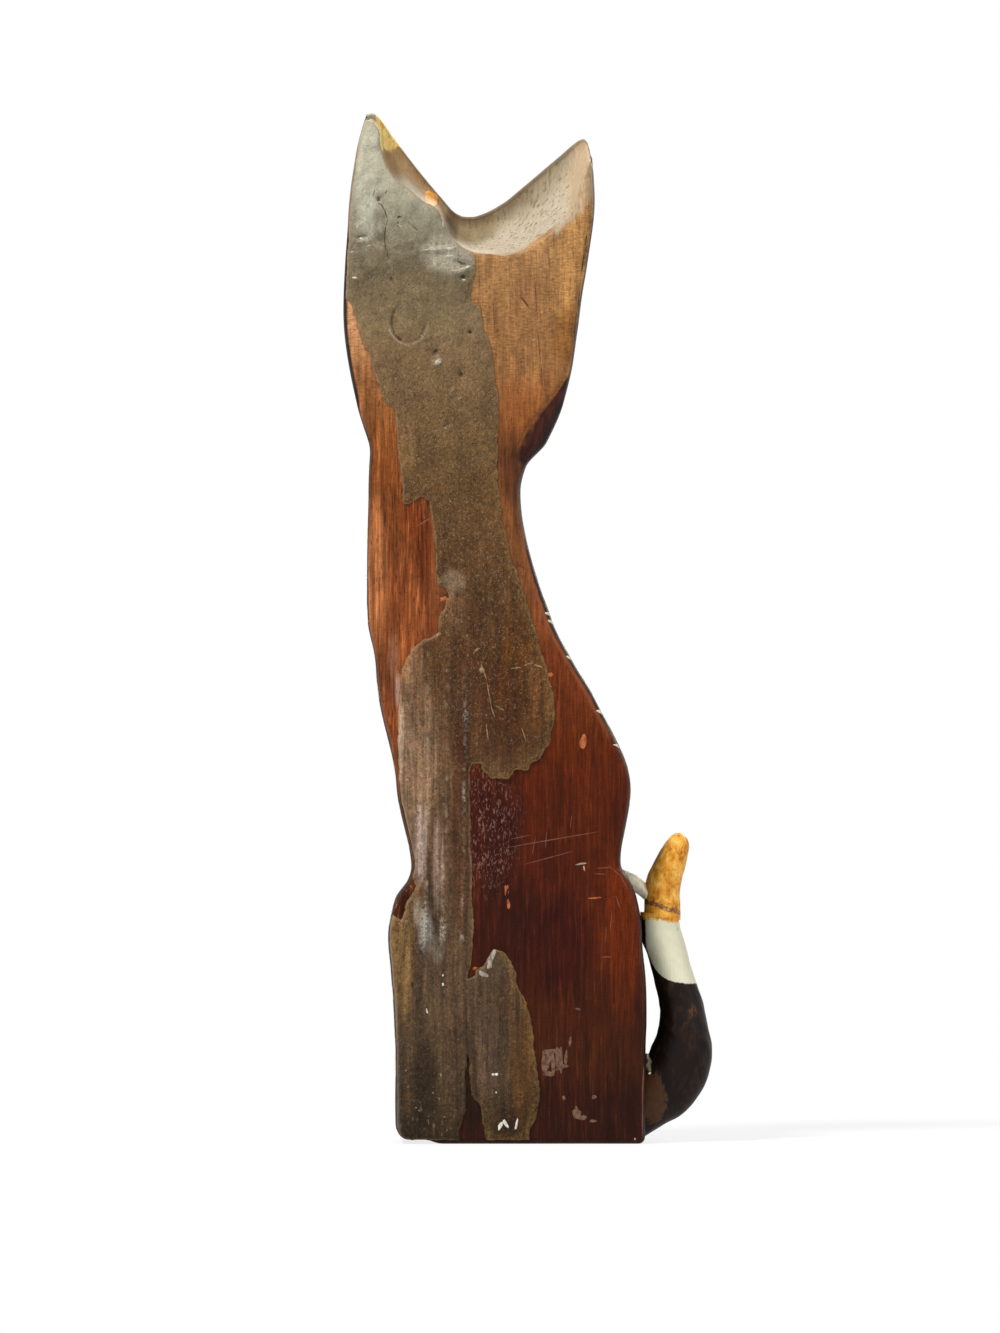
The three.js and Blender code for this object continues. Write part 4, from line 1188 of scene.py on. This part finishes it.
make_piece(
    "tail_limb", tail_rings, tube_faces(1, len(tail_rings), TAIL_SIDES), tail_paint(), "tail")
make_piece(
    "tail_gold_end", tip_rings, tube_faces(1, len(tip_rings), TAIL_SIDES), gold_paint(),
    "tail_tip")

# %% [markdown]
# Dried glue bridges the gap between the hip and the gold end, and fills the crotch at the tail's foot. Each
# is a short thick thread: an oval section along a path from the flank to the tail, thin where it starts and
# wider where the glue wetted the wood. The upper one is clear and pale, and the lower one is dusty, with a
# painted highlight on one small spot.

# %% Dried glue
GLUE_RINGS, GLUE_SIDES = 40, 36
# Oval of painted highlight on the glue in the crotch.
GLUE_HIGHLIGHT = (652, 1075.5, 5, 2.4)
HIP, GOLD_RIM = (622, 872), (653, 897)
CROTCH, HEEL = (647.5, 1055), (650.5, 1079)


def glue_thread(start, end, sag, half_tall, half_deep, flare, seed):
    """Oval rings from start to end (x, z). The path sags as 4t(1-t). The section is thin at the start and
    grows by flare times (2t-1)^2 towards the end, with hills for lumps; round ends close it."""
    t = np.linspace(0, 1, GLUE_RINGS)
    round_end = np.sqrt(np.clip(1 - np.abs(2 * t - 1) ** 12, 0.002, 1))
    grow = round_end * (0.45 + 0.55 * smooth_step(0, 0.4, t)) * (1 + flare * (2 * t - 1) ** 2)
    run = np.array(end) - np.array(start)
    along = run / np.hypot(*run)
    angle = 2 * np.pi * np.arange(GLUE_SIDES) / GLUE_SIDES
    lumps = 1 + 0.16 * hills(t[:, None] * 4, np.cos(angle) * 1.5 + np.sin(angle) + 5, seed)
    up = half_tall * grow[:, None] * lumps * np.cos(angle)
    deep = half_deep * grow[:, None] * lumps * np.sin(angle)
    x = start[0] + run[0] * t[:, None] - up * along[1]
    z = start[1] + run[1] * t[:, None] + up * along[0] - sag * (4 * t * (1 - t))[:, None]
    return np.stack([np.minimum(x, right_edge(z) + 0.8), TAIL_DEPTH - deep, z], -1)


def dried_glue(name, dull, clear):
    finish = new_finish(name)
    x, z = finish.places()
    cloud = finish.noise(0.5, 0.5, 4)
    strings = finish.noise(1.6, 0.5, 3)
    colour = finish.blend(srgb(*dull), srgb(*clear), finish.step(cloud, 0.35, 0.65))
    colour = finish.tones(colour, (strings, 0.3))
    # Painted highlight: a small whiter spot where the glue catches the light.
    colour = finish.blend(colour, srgb(255, 246, 224), finish.spot(x, z, GLUE_HIGHLIGHT, 0.5))
    return finish.surface(
        Base_Color=colour, Roughness=0.3 + 0.2 * cloud, Normal=finish.bump(strings, 0.25),
        Specular_IOR_Level=0.3)


clear_glue = dried_glue("dried_glue", (252, 238, 200), (255, 250, 228))
dusty_glue = dried_glue("dusty_glue", (88, 76, 60), (132, 118, 98))
upper_glue = glue_thread(from_photo(*HIP), from_photo(*GOLD_RIM), 0.4, 2.0, 2.2, 0.3, 91)
foot_glue = glue_thread(from_photo(*CROTCH), from_photo(*HEEL), 0.0, 1.5, 6.2, 0.0, 92)
glue_faces = tube_faces(1, GLUE_RINGS, GLUE_SIDES)
make_piece("glue_bridge", upper_glue, glue_faces, clear_glue, "upper_glue_bead")
make_piece("glue_in_crotch", foot_glue, glue_faces, dusty_glue, "foot_glue_fillet")

# %% [markdown]
# The peg in the foot and the pin in the tip are turned sticks of raw wood, hidden in their bores. The packed
# solids are the right shape, so they stay and only get a finish with grain along the stick.

# %% Pegs of raw wood


def raw_wood():
    finish = new_finish("raw_wood")
    grain = finish.noise(1.2, 1.2, 4)
    rings = finish.noise(5.0, 0.4, 2)
    colour = finish.blend(srgb(164, 122, 78), srgb(204, 166, 118), grain)
    colour = finish.tones(colour, (rings, 0.3))
    return finish.surface(
        Base_Color=colour, Roughness=0.6 + 0.2 * rings, Normal=finish.bump(rings, 0.1),
        Specular_IOR_Level=0.3)


peg_finish = raw_wood()
for peg in ("foot_dowel", "tip_pin"):
    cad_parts[peg].data.materials.clear()
    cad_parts[peg].data.materials.append(peg_finish)
print("pegs: finish", peg_finish.name)

# %% [markdown]
# Small things lie on the surface: the remains of a paper label, drips and flecks of paint, chips, and the
# brush strokes of the painted sides and front. Each is a dab: a flat lens on an oval with a ragged border. A
# dab is worked out in its own plane first, and then laid on the back, the bark, the front or a side.

# %% Dabs of paint
DAB_SIDES = 22
DAB_RADII = np.array([0.06, 0.4, 0.7, 0.88, 1.0, 1.02, 0.5, 0.06])
DAB_HEIGHTS = np.array([1.0, 0.98, 0.9, 0.7, 0.15, -1.0, -1.2, -1.2])


def dab_plane(spots, radii, sides, seed):
    """Rings of each dab in its plane. A spot is (a, b, half length, half width, turn, bend, ragged): the
    ring radius times the half sizes, bent by bend times a^2, turned, with hills along the border."""
    a, b, half_long, half_wide, turn, bend, ragged = np.asarray(spots, float).T[:, :, None, None]
    angle = 2 * np.pi * np.arange(sides) / sides
    which = np.arange(len(spots))[:, None, None]
    border = 1 + ragged * hills(which * 9.7 + 1.7 * np.cos(angle), 1.7 * np.sin(angle) + 30, seed)
    along = radii[:, None] * border * half_long * np.cos(angle)
    across = radii[:, None] * border * half_wide * np.sin(angle) + bend * along ** 2
    cos, sin = np.cos(np.radians(turn)), np.sin(np.radians(turn))
    return a + along * cos - across * sin, b + along * sin + across * cos


def dabs(name, spots, thick, lay, finish, seed=101, fine=1):
    """One piece of many dabs; lay(a, b, height) puts plane places and heights onto a surface. A fine dab
    has that many times more rings and sides, to follow a rough surface."""
    step = np.arange(len(DAB_RADII))
    place = np.linspace(0, step[-1], fine * step[-1] + 1)
    radii, sides = np.interp(place, step, DAB_RADII), DAB_SIDES * fine
    a, b = dab_plane(spots, radii, sides, seed)
    height = np.broadcast_to(thick * np.interp(place, step, DAB_HEIGHTS)[:, None], a.shape)
    return make_piece(name, lay(a, b, height), tube_faces(len(spots), len(radii), sides), finish)


def on_back(a, b, height):
    return np.stack([a, shown_back(a, b) + height, b], -1)


DEEP_INSIDE = 3.0
FLAKE_CORNER = (469, 945)
flake_left, flake_top = from_photo(*FLAKE_CORNER)


def on_bark(a, b, height):
    """Lays dabs on the two sheets of bark, as far in from their borders as to have the full thickness."""
    on_flake = (a < flake_left) & (b < flake_top)
    rise = np.where(on_flake, flake_rise(a, b, DEEP_INSIDE), bark_rise(a, b, DEEP_INSIDE))
    return np.stack([a, back_depth(a, b) + rise + height, b], -1)


def on_front(a, b, height):
    """Front dabs are given by their offset from the leaning middle to the cat's right, so they face out."""
    x = lean_at(b) - a
    z = b - FACE_TILT * a * (b > NECK_HEIGHT)
    return np.stack([x, front_depth(x, z) - height, z], -1)


def by_photo(marks):
    """Dabs given on the picture (column, row, half sizes in pixels, turn, bend, ragged) as sizes in mm."""
    spots = np.asarray(marks, float)
    x, z = from_photo(spots[:, 0], spots[:, 1])
    sizes = spots[:, 2:4] * mm_per_pixel
    return np.column_stack([x, z, sizes, 180 - spots[:, 4], spots[:, 5], spots[:, 6]])


def old_paint(name, first, second, roughness):
    """Brushed paint between two close colours, with a fine bump."""
    finish = new_finish(name)
    brushed = finish.noise(0.9, 0.7, 4)
    colour = finish.blend(srgb(*first), srgb(*second), finish.step(brushed, 0.35, 0.65))
    return finish.surface(
        Base_Color=colour, Roughness=roughness + 0.15 * brushed, Normal=finish.bump(brushed, 0.1),
        Specular_IOR_Level=0.3)


print("dab:", len(DAB_RADII), "rings of", DAB_SIDES, "sides")

# %% [markdown]
# On the back these are accidents: scraps of a label, white drips, cracks, orange chips where the varnish is
# gone, and thin pale scratches. With them lie painted highlights: pale dabs for the glints on the bark's
# lumps, on the flake and near the base. Each row is one dab on the picture: column, row, half length and
# half width in pixels, turn in degrees, bend and raggedness.

# %% Marks on the back
LABEL_SCRAPS = [
    (544, 1064, 2.2, 10, 4, 0, 0.35), (548, 1060, 2.4, 11, -4, 0, 0.35),
    (553, 1063, 2.2, 14, 3, 0, 0.3), (557, 1058, 2.0, 10, -3, 0, 0.35),
    (561, 1060, 1.8, 13, 2, 0, 0.35), (566, 1058, 1.6, 8, -5, 0, 0.3), (551, 1052, 9, 2.6, 3, 0, 0.4),
    (549, 1074, 6, 2.4, -12, 0, 0.4), (562, 1067, 6, 2.2, 20, 0, 0.4),
    (570, 1042, 1.2, 5, -10, 0, 0.3), (577, 1113, 4, 6, 10, 0, 0.45), (583, 1118, 4, 2.6, 0, 0, 0.4),
    (593, 1121, 4, 1.4, 5, 0, 0.3), (564, 1098, 1.4, 2.4, 0, 0, 0.4),
    (594, 1097, 2.4, 1.8, 20, 0, 0.4), (578, 1009, 3, 1.1, -15, 0, 0.3),
]
PAINT_DRIPS = [
    (500.3, 1126, 4, 1.8, 65, 0, 0.3), (505.5, 1123.5, 4.4, 1.9, -62, 0, 0.3),
    (516.5, 1124, 6, 1.4, 80, 0, 0.35), (493, 1074.6, 1.5, 1.4, 0, 0, 0.3),
    (496.6, 1074.3, 1.5, 1.4, 0, 0, 0.3), (496.2, 1092.5, 0.8, 0.8, 0, 0, 0.3),
    (443, 984.5, 1.3, 1.5, 0, 0, 0.3), (443, 975.5, 0.9, 1.0, 0, 0, 0.3),
    (427, 1011, 0.7, 2.6, 10, 0, 0.3),
]
# Painted highlights: pale streaks on the flake's peak where its facets catch the light.
FLAKE_GLEAMS = [
    (491.2, 959, 9.5, 2.4, 68, 0, 0.2), (490, 965, 4, 2.0, 74, 0, 0.3),
    (483.5, 974, 5.5, 3.0, -20, 0, 0.35),
]
# Painted highlights on the lumps and ridges of the bark on the head.
HEAD_GLEAMS = [
    (430, 250, 9, 0.6, 2, 0, 0.35), (450, 248.6, 6, 1.5, 8, 0, 0.35), (449.5, 256, 4, 0.9, 5, 0, 0.3),
    (465, 268, 6, 1.1, 20, 0, 0.35), (455, 271, 4, 0.9, 0, 0, 0.3), (464, 280, 2, 0.8, 0, 0, 0.3),
    (438, 362.5, 3.2, 1.8, 20, 0, 0.45), (362, 239, 3, 0.8, -30, 0, 0.3),
    (369, 246, 2.6, 0.7, 10, 0, 0.3), (355, 278, 2.6, 1.1, 0, 0, 0.3),
    (352, 252, 2.4, 0.7, 15, 0, 0.3), (400, 226, 3.4, 0.5, -30, 0, 0.3),
    (443, 224, 1.0, 3, 10, 0, 0.3), (358, 226, 2.4, 0.6, 60, 0, 0.3),
]
# Painted highlights: small specks of glint on the bark near the base.
LOW_GLEAMS = [
    (406, 1070.5, 0.9, 0.7, 60, 0, 0.3), (408, 1087, 0.7, 1.3, 0, 0, 0.3),
    (419, 1110.5, 1.3, 0.9, -40, 0, 0.3), (416, 1107.5, 0.8, 0.6, 0, 0, 0.3),
    (433, 1093, 1.0, 0.7, -30, 0, 0.3), (439.5, 1098.5, 1.0, 0.8, 20, 0, 0.3),
    (444.5, 1117, 1.0, 0.8, 0, 0, 0.3), (442, 1123, 0.5, 2.2, 10, 0, 0.3),
    (428.5, 1122, 0.5, 2.4, 8, 0, 0.3), (413, 1119, 0.4, 2.0, 0, 0, 0.3),
    (441, 1075, 0.6, 1.6, 5, 0, 0.3), (447, 1130, 0.5, 1.5, 0, 0, 0.3),
]
WHITE_NICKS = [
    (581, 864, 5, 0.9, 8, 0, 0.3), (584, 868, 0.8, 3.4, 14, 0, 0.3), (635, 1139, 0.9, 1.4, 0, 0, 0.2),
]
ORANGE_CHIPS = [
    (583, 742, 3.2, 7, -8, 0, 0.2), (506.6, 891, 2.0, 7, 3, 0, 0.3), (508.4, 904, 1.7, 6, 5, 0, 0.3),
    (550, 675, 3, 2, 20, 0, 0.4), (595, 898, 6, 0.8, 4, 0, 0.4), (475, 968.5, 2.6, 1.6, 25, 0, 0.5),
    (444, 599, 5, 2.2, 12, 0, 0.4),
]
EAR_CHIPS = [(430.8, 195, 8, 6, -62, 0, 0.25)]
BARK_CRACKS = [
    (382, 206, 4, 0.6, -55, 0.15, 0.4), (385.5, 213, 4.6, 0.6, -78, 0, 0.4),
    (387, 222, 4, 0.45, 84, 0.03, 0.4), (385, 234, 7.5, 0.65, 88, 0.03, 0.35),
    (385.4, 246, 5, 0.5, -82, 0.04, 0.4), (387.6, 255, 4.4, 0.6, -80, 0, 0.4),
    (399, 217, 2.4, 1.0, 30, 0.1, 0.4), (398, 224, 3, 0.6, 84, 0, 0.4),
    (378.6, 200, 1.6, 1.1, 20, 0, 0.4), (374, 193, 3, 0.4, 75, 0, 0.4),
    (391.5, 279, 1.6, 1.1, 90, 0, 0.4), (386, 192, 2.4, 0.5, 60, 0, 0.4),
]
BARK_LINES = [
    (484, 672, 8, 0.6, -72, 0, 0.3), (489, 694, 12, 0.6, -80, 0, 0.3), (493, 712, 6, 0.6, -70, 0, 0.3),
    (487, 731, 8, 0.5, -82, 0, 0.3), (476, 650, 4, 0.9, 40, 0.3, 0.3), (500, 708, 5, 0.6, -30, 0, 0.3),
    (538, 666, 5, 0.9, -16, 0, 0.4), (529, 664, 5, 0.9, 14, 0, 0.4), (516, 668, 5, 0.6, 6, 0, 0.3),
    (524, 735, 7, 0.5, -70, 0, 0.3), (482, 670, 2.4, 3, 10, 0, 0.4),
]
GRAIN_CUTS = [
    (524.8, 301.8, 5.4, 0.85, -52, 0.01, 0.3), (536, 298, 17, 0.4, -86, 0, 0.4),
    (539, 345, 18, 0.45, -85, 0, 0.4), (541.6, 376, 11, 0.45, -87, 0, 0.4),
    (494, 318, 12, 0.35, -88, 0, 0.4), (575, 330, 16, 0.5, 86, 0, 0.4), (586, 240, 6, 0.7, 80, 0, 0.4),
    (583, 262, 10, 0.7, 82, 0, 0.4), (579, 300, 9, 0.6, 86, 0, 0.4),
]
SCRATCHES = [
    (552.8, 839.6, 46, 0.5, 9.8, 0, 0.1), (548, 858, 25, 0.45, 15, 0, 0.1),
    (520, 567, 9, 0.8, -24, 0, 0.2), (541, 656, 8, 0.8, 12, 0, 0.2), (424, 522, 9, 0.6, 30, 0.01, 0.2),
    (603, 868, 8, 0.4, 2, 0, 0.2), (600, 874, 7, 0.4, -3, 0, 0.2), (606, 935, 9, 0.4, 88, 0, 0.2),
    (611, 922, 10, 0.4, 85, 0, 0.2), (606, 957, 5, 0.6, 2, 0, 0.2), (616, 872, 9, 0.4, -40, 0, 0.2),
    (625, 884, 8, 0.4, -62, 0, 0.2), (521, 837, 10, 0.4, 12, 0, 0.2), (534, 845, 9, 0.35, 80, 0, 0.2),
    (546, 840, 9, 0.35, 86, 0, 0.2), (571, 822, 7, 0.35, 84, 0, 0.2), (618, 902, 7, 0.5, -70, 0, 0.2),
    (643, 1086, 22, 0.7, 88, 0, 0.25), (642.4, 1120, 16, 0.6, 89, 0, 0.3),
]
BACK_MARKS = [
    # piece, its dabs, thickness in mm, what it lies on, finish, two colours, roughness, slot
    ("label_scraps", LABEL_SCRAPS, 0.09, on_back, "label_paper", (82, 53, 38), (118, 88, 68), 0.6, None),
    ("paint_drips", PAINT_DRIPS, 0.22, on_bark, "white_drip", (196, 190, 172), (226, 222, 206), 0.4, None),
    ("flake_gleams", FLAKE_GLEAMS, 0.1, on_bark, "painted_flake_highlight", (112, 104, 92), (174, 164, 152), 0.3,
     "bark"),
    ("head_gleams", HEAD_GLEAMS, 0.08, on_bark, "painted_head_highlight", (152, 143, 122), (200, 193, 174), 0.35,
     "bark"),
    ("low_gleams", LOW_GLEAMS, 0.06, on_bark, "painted_speck_highlight", (92, 80, 62), (140, 126, 104), 0.4, "bark"),
    ("white_nicks", WHITE_NICKS, 0.08, on_back, "white_nick", (140, 112, 92), (176, 154, 132), 0.5, None),
    ("orange_chips", ORANGE_CHIPS, 0.05, on_back, "bare_chip", (132, 60, 25), (176, 99, 48), 0.5, None),
    ("ear_chips", EAR_CHIPS, 0.5, on_back, "golden_chip", (196, 126, 50), (228, 176, 92), 0.4, None),
    ("bark_lines", BARK_LINES, 0.05, on_bark, "pale_thread", (108, 82, 50), (152, 124, 86), 0.5, None),
    ("bark_cracks", BARK_CRACKS, 0.04, on_bark, "dark_crack", (44, 38, 29), (78, 70, 55), 0.7, None),
    ("grain_cuts", GRAIN_CUTS, 0.03, on_back, "dark_grain", (58, 34, 18), (94, 58, 32), 0.5, None),
    ("scratches", SCRATCHES, 0.03, on_back, "scratch", (100, 51, 34), (122, 69, 48), 0.5, None),
]
for name, spots, thick, lay, paint, first, second, roughness, slot in BACK_MARKS:
    dabs(name, by_photo(spots), thick, lay, old_paint(paint, first, second, roughness))

# %% [markdown]
# The painted front follows an old folk habit: cream strokes for fur, cream paws, golden ears and eyes, a
# small nose and whiskers. Strokes repeat in rows that a loop works out. A few flank strokes reach the back's
# right edge, where the photograph shows their ends.

# %% Strokes on the front and the sides
cream_paint = old_paint("cream_paint", (206, 200, 172), (226, 221, 198), 0.45)
EDGE_STROKE_ROWS = [614, 622, 658, 712, 746]
EDGE_STROKE_DEPTH = 17.6


def on_flank(side):
    """Lays (a, b) on a side wall: a is the depth towards the back, b the height, and heights stand out."""
    def lay(a, b, height):
        edge = left_edge(b) if side > 0 else right_edge(b)
        y = -a * side
        reach = back_depth(edge - side * 1.2, b)
        over = np.clip(y - (BACK_DEPTH - BACK_ROUND), 0, BACK_ROUND * 0.98)
        drawn_in = BACK_ROUND - np.sqrt(BACK_ROUND ** 2 - over ** 2)
        middle = np.clip((BACK_DEPTH - BACK_ROUND - y) / (front_at(b) + 8), 0, 1)
        swell = SIDE_SWELL * np.sin(np.pi * middle)
        return np.stack([edge + side * (swell - drawn_in + height), np.minimum(y, reach + 3), b], -1)
    return lay


def fur_rows(heights, first, last, per_row, long, turn):
    """Rows of strokes at each height, spread from first to last depth, every other row set half a step."""
    rows = []
    for number, height in enumerate(heights):
        step = (last - first) / per_row
        for place in range(per_row):
            depth = first + step * (place + 0.25 + 0.5 * (number % 2))
            rows.append((depth, height + 1.1 * ((place * 7 + number * 3) % 3), long, 0.55, turn, 0.02, 0.25))
    return np.array(rows)


edge_strokes = [(EDGE_STROKE_DEPTH, float(from_photo(0, row)[1]), 1.7, 0.5, 12, 0, 0.2)
                for row in EDGE_STROKE_ROWS]
flank_heights = np.arange(22, 186, 11.0)
left_fur = fur_rows(flank_heights, -14, 10, 3, 2.6, 64)
right_fur = fur_rows(flank_heights[6:], -10, 14, 3, 2.6, -64)
dabs("left_flank_fur", left_fur, 0.14, on_flank(1), cream_paint, seed=111)
dabs("right_flank_fur", np.concatenate([right_fur, edge_strokes]), 0.14, on_flank(-1), cream_paint, seed=112)

CHEST_ROWS = [(188, 5), (179, 6), (170, 7), (161, 6), (152, 5), (143, 4), (134, 3), (125, 2)]
CHEST_STEP, CHEST_FAN = 5.0, 9


def chest_stroke(height, count, place):
    """One stroke of a row: strokes stand a step apart around the middle, and fan out with their offset."""
    offset = place - (count - 1) / 2
    return (CHEST_STEP * offset, height, 3.2, 0.75, 90 + CHEST_FAN * offset, 0.0, 0.2)


chest_strokes = [chest_stroke(height, count, place) for height, count in CHEST_ROWS for place in range(count)]
PAWS = [(14, 6.5, 9.5, 5.5, 0, 0, 0.06), (-14, 6.5, 9.5, 5.5, 0, 0, 0.06)]
MUZZLE_PADS = [
    (6.2, 226, 6.6, 5.2, 12, 0, 0.08), (-6.2, 226, 6.6, 5.2, -12, 0, 0.08),
    (0, 219, 4, 2.6, 0, 0, 0.1),
]
whiskers = [(side * (17 + 2 * row), 224 + 4.2 * row, 8.5, 0.42, side * (10 * row - 6), 0.004 * side, 0.1)
            for side in (1, -1) for row in range(3)]
BROW_STROKES = [
    (0, 257, 4.6, 0.8, 90, 0, 0.15), (4.6, 256, 3.8, 0.7, 80, 0, 0.15),
    (-4.6, 256, 3.8, 0.7, 100, 0, 0.15),
]
front_cream = np.array([*chest_strokes, *MUZZLE_PADS, *whiskers, *BROW_STROKES])
dabs("front_cream_paint", front_cream, 0.16, on_front, cream_paint, seed=113)
dabs("cream_paws", PAWS, 0.2, on_front, cream_paint, seed=114, fine=5)

# %% [markdown]
# Eyes are built in layers as they were painted: a cream almond, a golden iris, a black slit and a dot of
# light. Each layer stands a little higher than the one below it. The nose is dark red, and the mouth and the
# toes are black.

# %% Face and toes
EYE_OFFSET, EYE_HEIGHT = 16.5, 249.0
golden_eye = old_paint("golden_eye", (186, 122, 36), (222, 164, 70), 0.35)
dark_line = old_paint("dark_line", (22, 16, 14), (40, 28, 22), 0.4)
nose_red = old_paint("nose_red", (120, 58, 48), (150, 80, 66), 0.45)


def both_eyes(half_long, half_wide, turn, rise=0.0, aside=0.0):
    return [(side * EYE_OFFSET + aside, EYE_HEIGHT + rise, half_long, half_wide, side * turn, 0, 0.02)
            for side in (1, -1)]


dabs("eye_almonds", both_eyes(8.2, 4.6, 14), 0.35, on_front, cream_paint, seed=121)
dabs("eye_irises", both_eyes(3.9, 3.9, 0), 0.75, on_front, golden_eye, seed=122)
dabs("eye_slits", both_eyes(3.4, 1.1, 90), 1.0, on_front, dark_line, seed=123)
dabs("eye_lights", both_eyes(0.7, 0.7, 0, 1.6, -1.0), 1.2, on_front, cream_paint, seed=124)
INNER_EARS = [(-22, 273, 8, 3.8, 115, 0, 0.08), (22, 275, 7, 3.8, 57, 0, 0.08)]
dabs("inner_ears", INNER_EARS, 0.15, on_front, golden_eye, seed=125)
NOSE = [(0, 233.5, 4.2, 2.6, 0, -0.02, 0.05)]
dabs("nose", NOSE, 0.9, on_front, nose_red, seed=126)
MOUTH = [
    (0, 229, 2.6, 0.45, 90, 0, 0.05), (3.4, 225.2, 3.6, 0.45, -14, 0.05, 0.05),
    (-3.4, 225.2, 3.6, 0.45, 14, 0.05, 0.05),
]
TOES = [(side * place, 5.0, 3.6, 0.5, 90, 0, 0.1) for side in (1, -1) for place in (10, 18)]
dabs("mouth_and_toes", [*MOUTH, *TOES], 0.32, on_front, dark_line, seed=127)

# %% [markdown]
# The stage is a pale floor under plain soft light. The key stands near the camera, high on the picture's
# left, as the photograph's light does; a weak fill opens the right side. The background is white to the
# camera and in reflections, while the light that reaches the wood stays at a plain level.

# %% Stage and light
AMBIENT = 0.2
KEY_POWER, FILL_POWER = 35.5, 5.0
FRONT_POWER = 7.0
FLOOR_HALF = 6.0


def seen_directly(finish):
    """One for rays from the camera, from reflections and through glass; zero for light that spreads."""
    seen = [finish.node("LightPath", out=f"Is {kind} Ray") for kind in ("Camera", "Glossy", "Transmission")]
    return finish.maths("MAXIMUM", finish.maths("MAXIMUM", seen[0], seen[1]), seen[2])


def white_world():
    world = bpy.data.worlds.new("white_room")
    bpy.context.scene.world = world
    finish = Finish(world)
    strength = AMBIENT + (1 - AMBIENT) * seen_directly(finish)
    light = finish.node("Background", {}, {"Color": srgb(255, 255, 255), "Strength": strength})
    finish.node("OutputWorld", {}, {"Surface": light})


def pale_floor():
    finish = new_finish("pale_floor")
    place = finish.node("TexCoord", out="Object")
    distance = finish.node("VectorMath", {"operation": "LENGTH"}, {0: place}, out="Value")
    speckle = finish.noise(0.02, 0.02, 3)
    colour = finish.blend(srgb(240, 240, 240), srgb(248, 248, 248), speckle)
    sockets = {"Base Color": colour, "Roughness": 0.8, "Specular IOR Level": 0.1}
    matt = finish.node("BsdfPrincipled", {}, sockets)
    white = finish.node("Emission", {}, {"Color": srgb(255, 255, 255), "Strength": 1.0})
    glow = seen_directly(finish) * (0.8 + 0.2 * finish.step(distance, 0.12, 0.5))
    finish.node("OutputMaterial", {}, {"Surface": finish.node("MixShader", {}, {0: glow, 1: matt, 2: white})})
    return finish.owner


def floor_sheet():
    mesh = bpy.data.meshes.new("floor")
    reach = np.array([[-1, -1, 0], [1, -1, 0], [1, 1, 0], [-1, 1, 0]]) * FLOOR_HALF
    mesh.from_pydata(reach.tolist(), [], [[0, 1, 2, 3]])
    mesh.materials.append(pale_floor())
    floor = bpy.data.objects.new("floor", mesh)
    bpy.context.scene.collection.objects.link(floor)


def soft_lamp(name, place, aim, size, power):
    light = bpy.data.lights.new(name, "AREA")
    light.shape = "DISK"
    light.size = size
    light.energy = power
    lamp = bpy.data.objects.new(name, light)
    lamp.location = place
    direction = np.array(aim) - np.array(place)
    lamp.rotation_euler = Vector(direction).to_track_quat("-Z", "Y").to_euler()
    bpy.context.scene.collection.objects.link(lamp)


white_world()
floor_sheet()
LAMPS = [
    # name, place and aim in metres, size in metres, power in watts
    ("key", (0.75, 0.7, 1.65), (0.01, 0, 0.15), 0.4, KEY_POWER),
    ("fill", (-1.0, 0.9, 0.8), (0, 0, 0.15), 0.9, FILL_POWER),
    ("front_fill", (-0.3, -1.0, 0.7), (0, 0, 0.15), 0.9, FRONT_POWER),
]
for lamp in LAMPS:
    soft_lamp(*lamp)
print("stage: key", KEY_POWER, "W, fill", FILL_POWER, "W")

# %% [markdown]
# The camera looks straight at the back, square to it. It stands well away with a long lens, because the
# photograph shows next to nothing of the sides. The lens follows from the picture's height in millimetres on
# the back plane, so a picture place lands where the photograph has it.

# %% Camera
CAMERA_DISTANCE = 3.2
SENSOR = 36.0
camera_data = bpy.data.cameras.new("camera")
camera = bpy.data.objects.new("camera", camera_data)
bpy.context.scene.collection.objects.link(camera)
middle_x, middle_z = from_photo(PHOTO_WIDTH / 2, PHOTO_HEIGHT / 2)
camera.location = (middle_x * MM, BACK_DEPTH * MM + CAMERA_DISTANCE, middle_z * MM)
camera.rotation_euler = (np.pi / 2, 0, np.pi)
camera_data.sensor_width = SENSOR
camera_data.lens = SENSOR * CAMERA_DISTANCE / (PHOTO_HEIGHT * mm_per_pixel * MM)
bpy.context.scene.camera = camera
bpy.context.scene.view_settings.view_transform = "Standard"
print("camera: lens", round(camera_data.lens, 1), "mm")
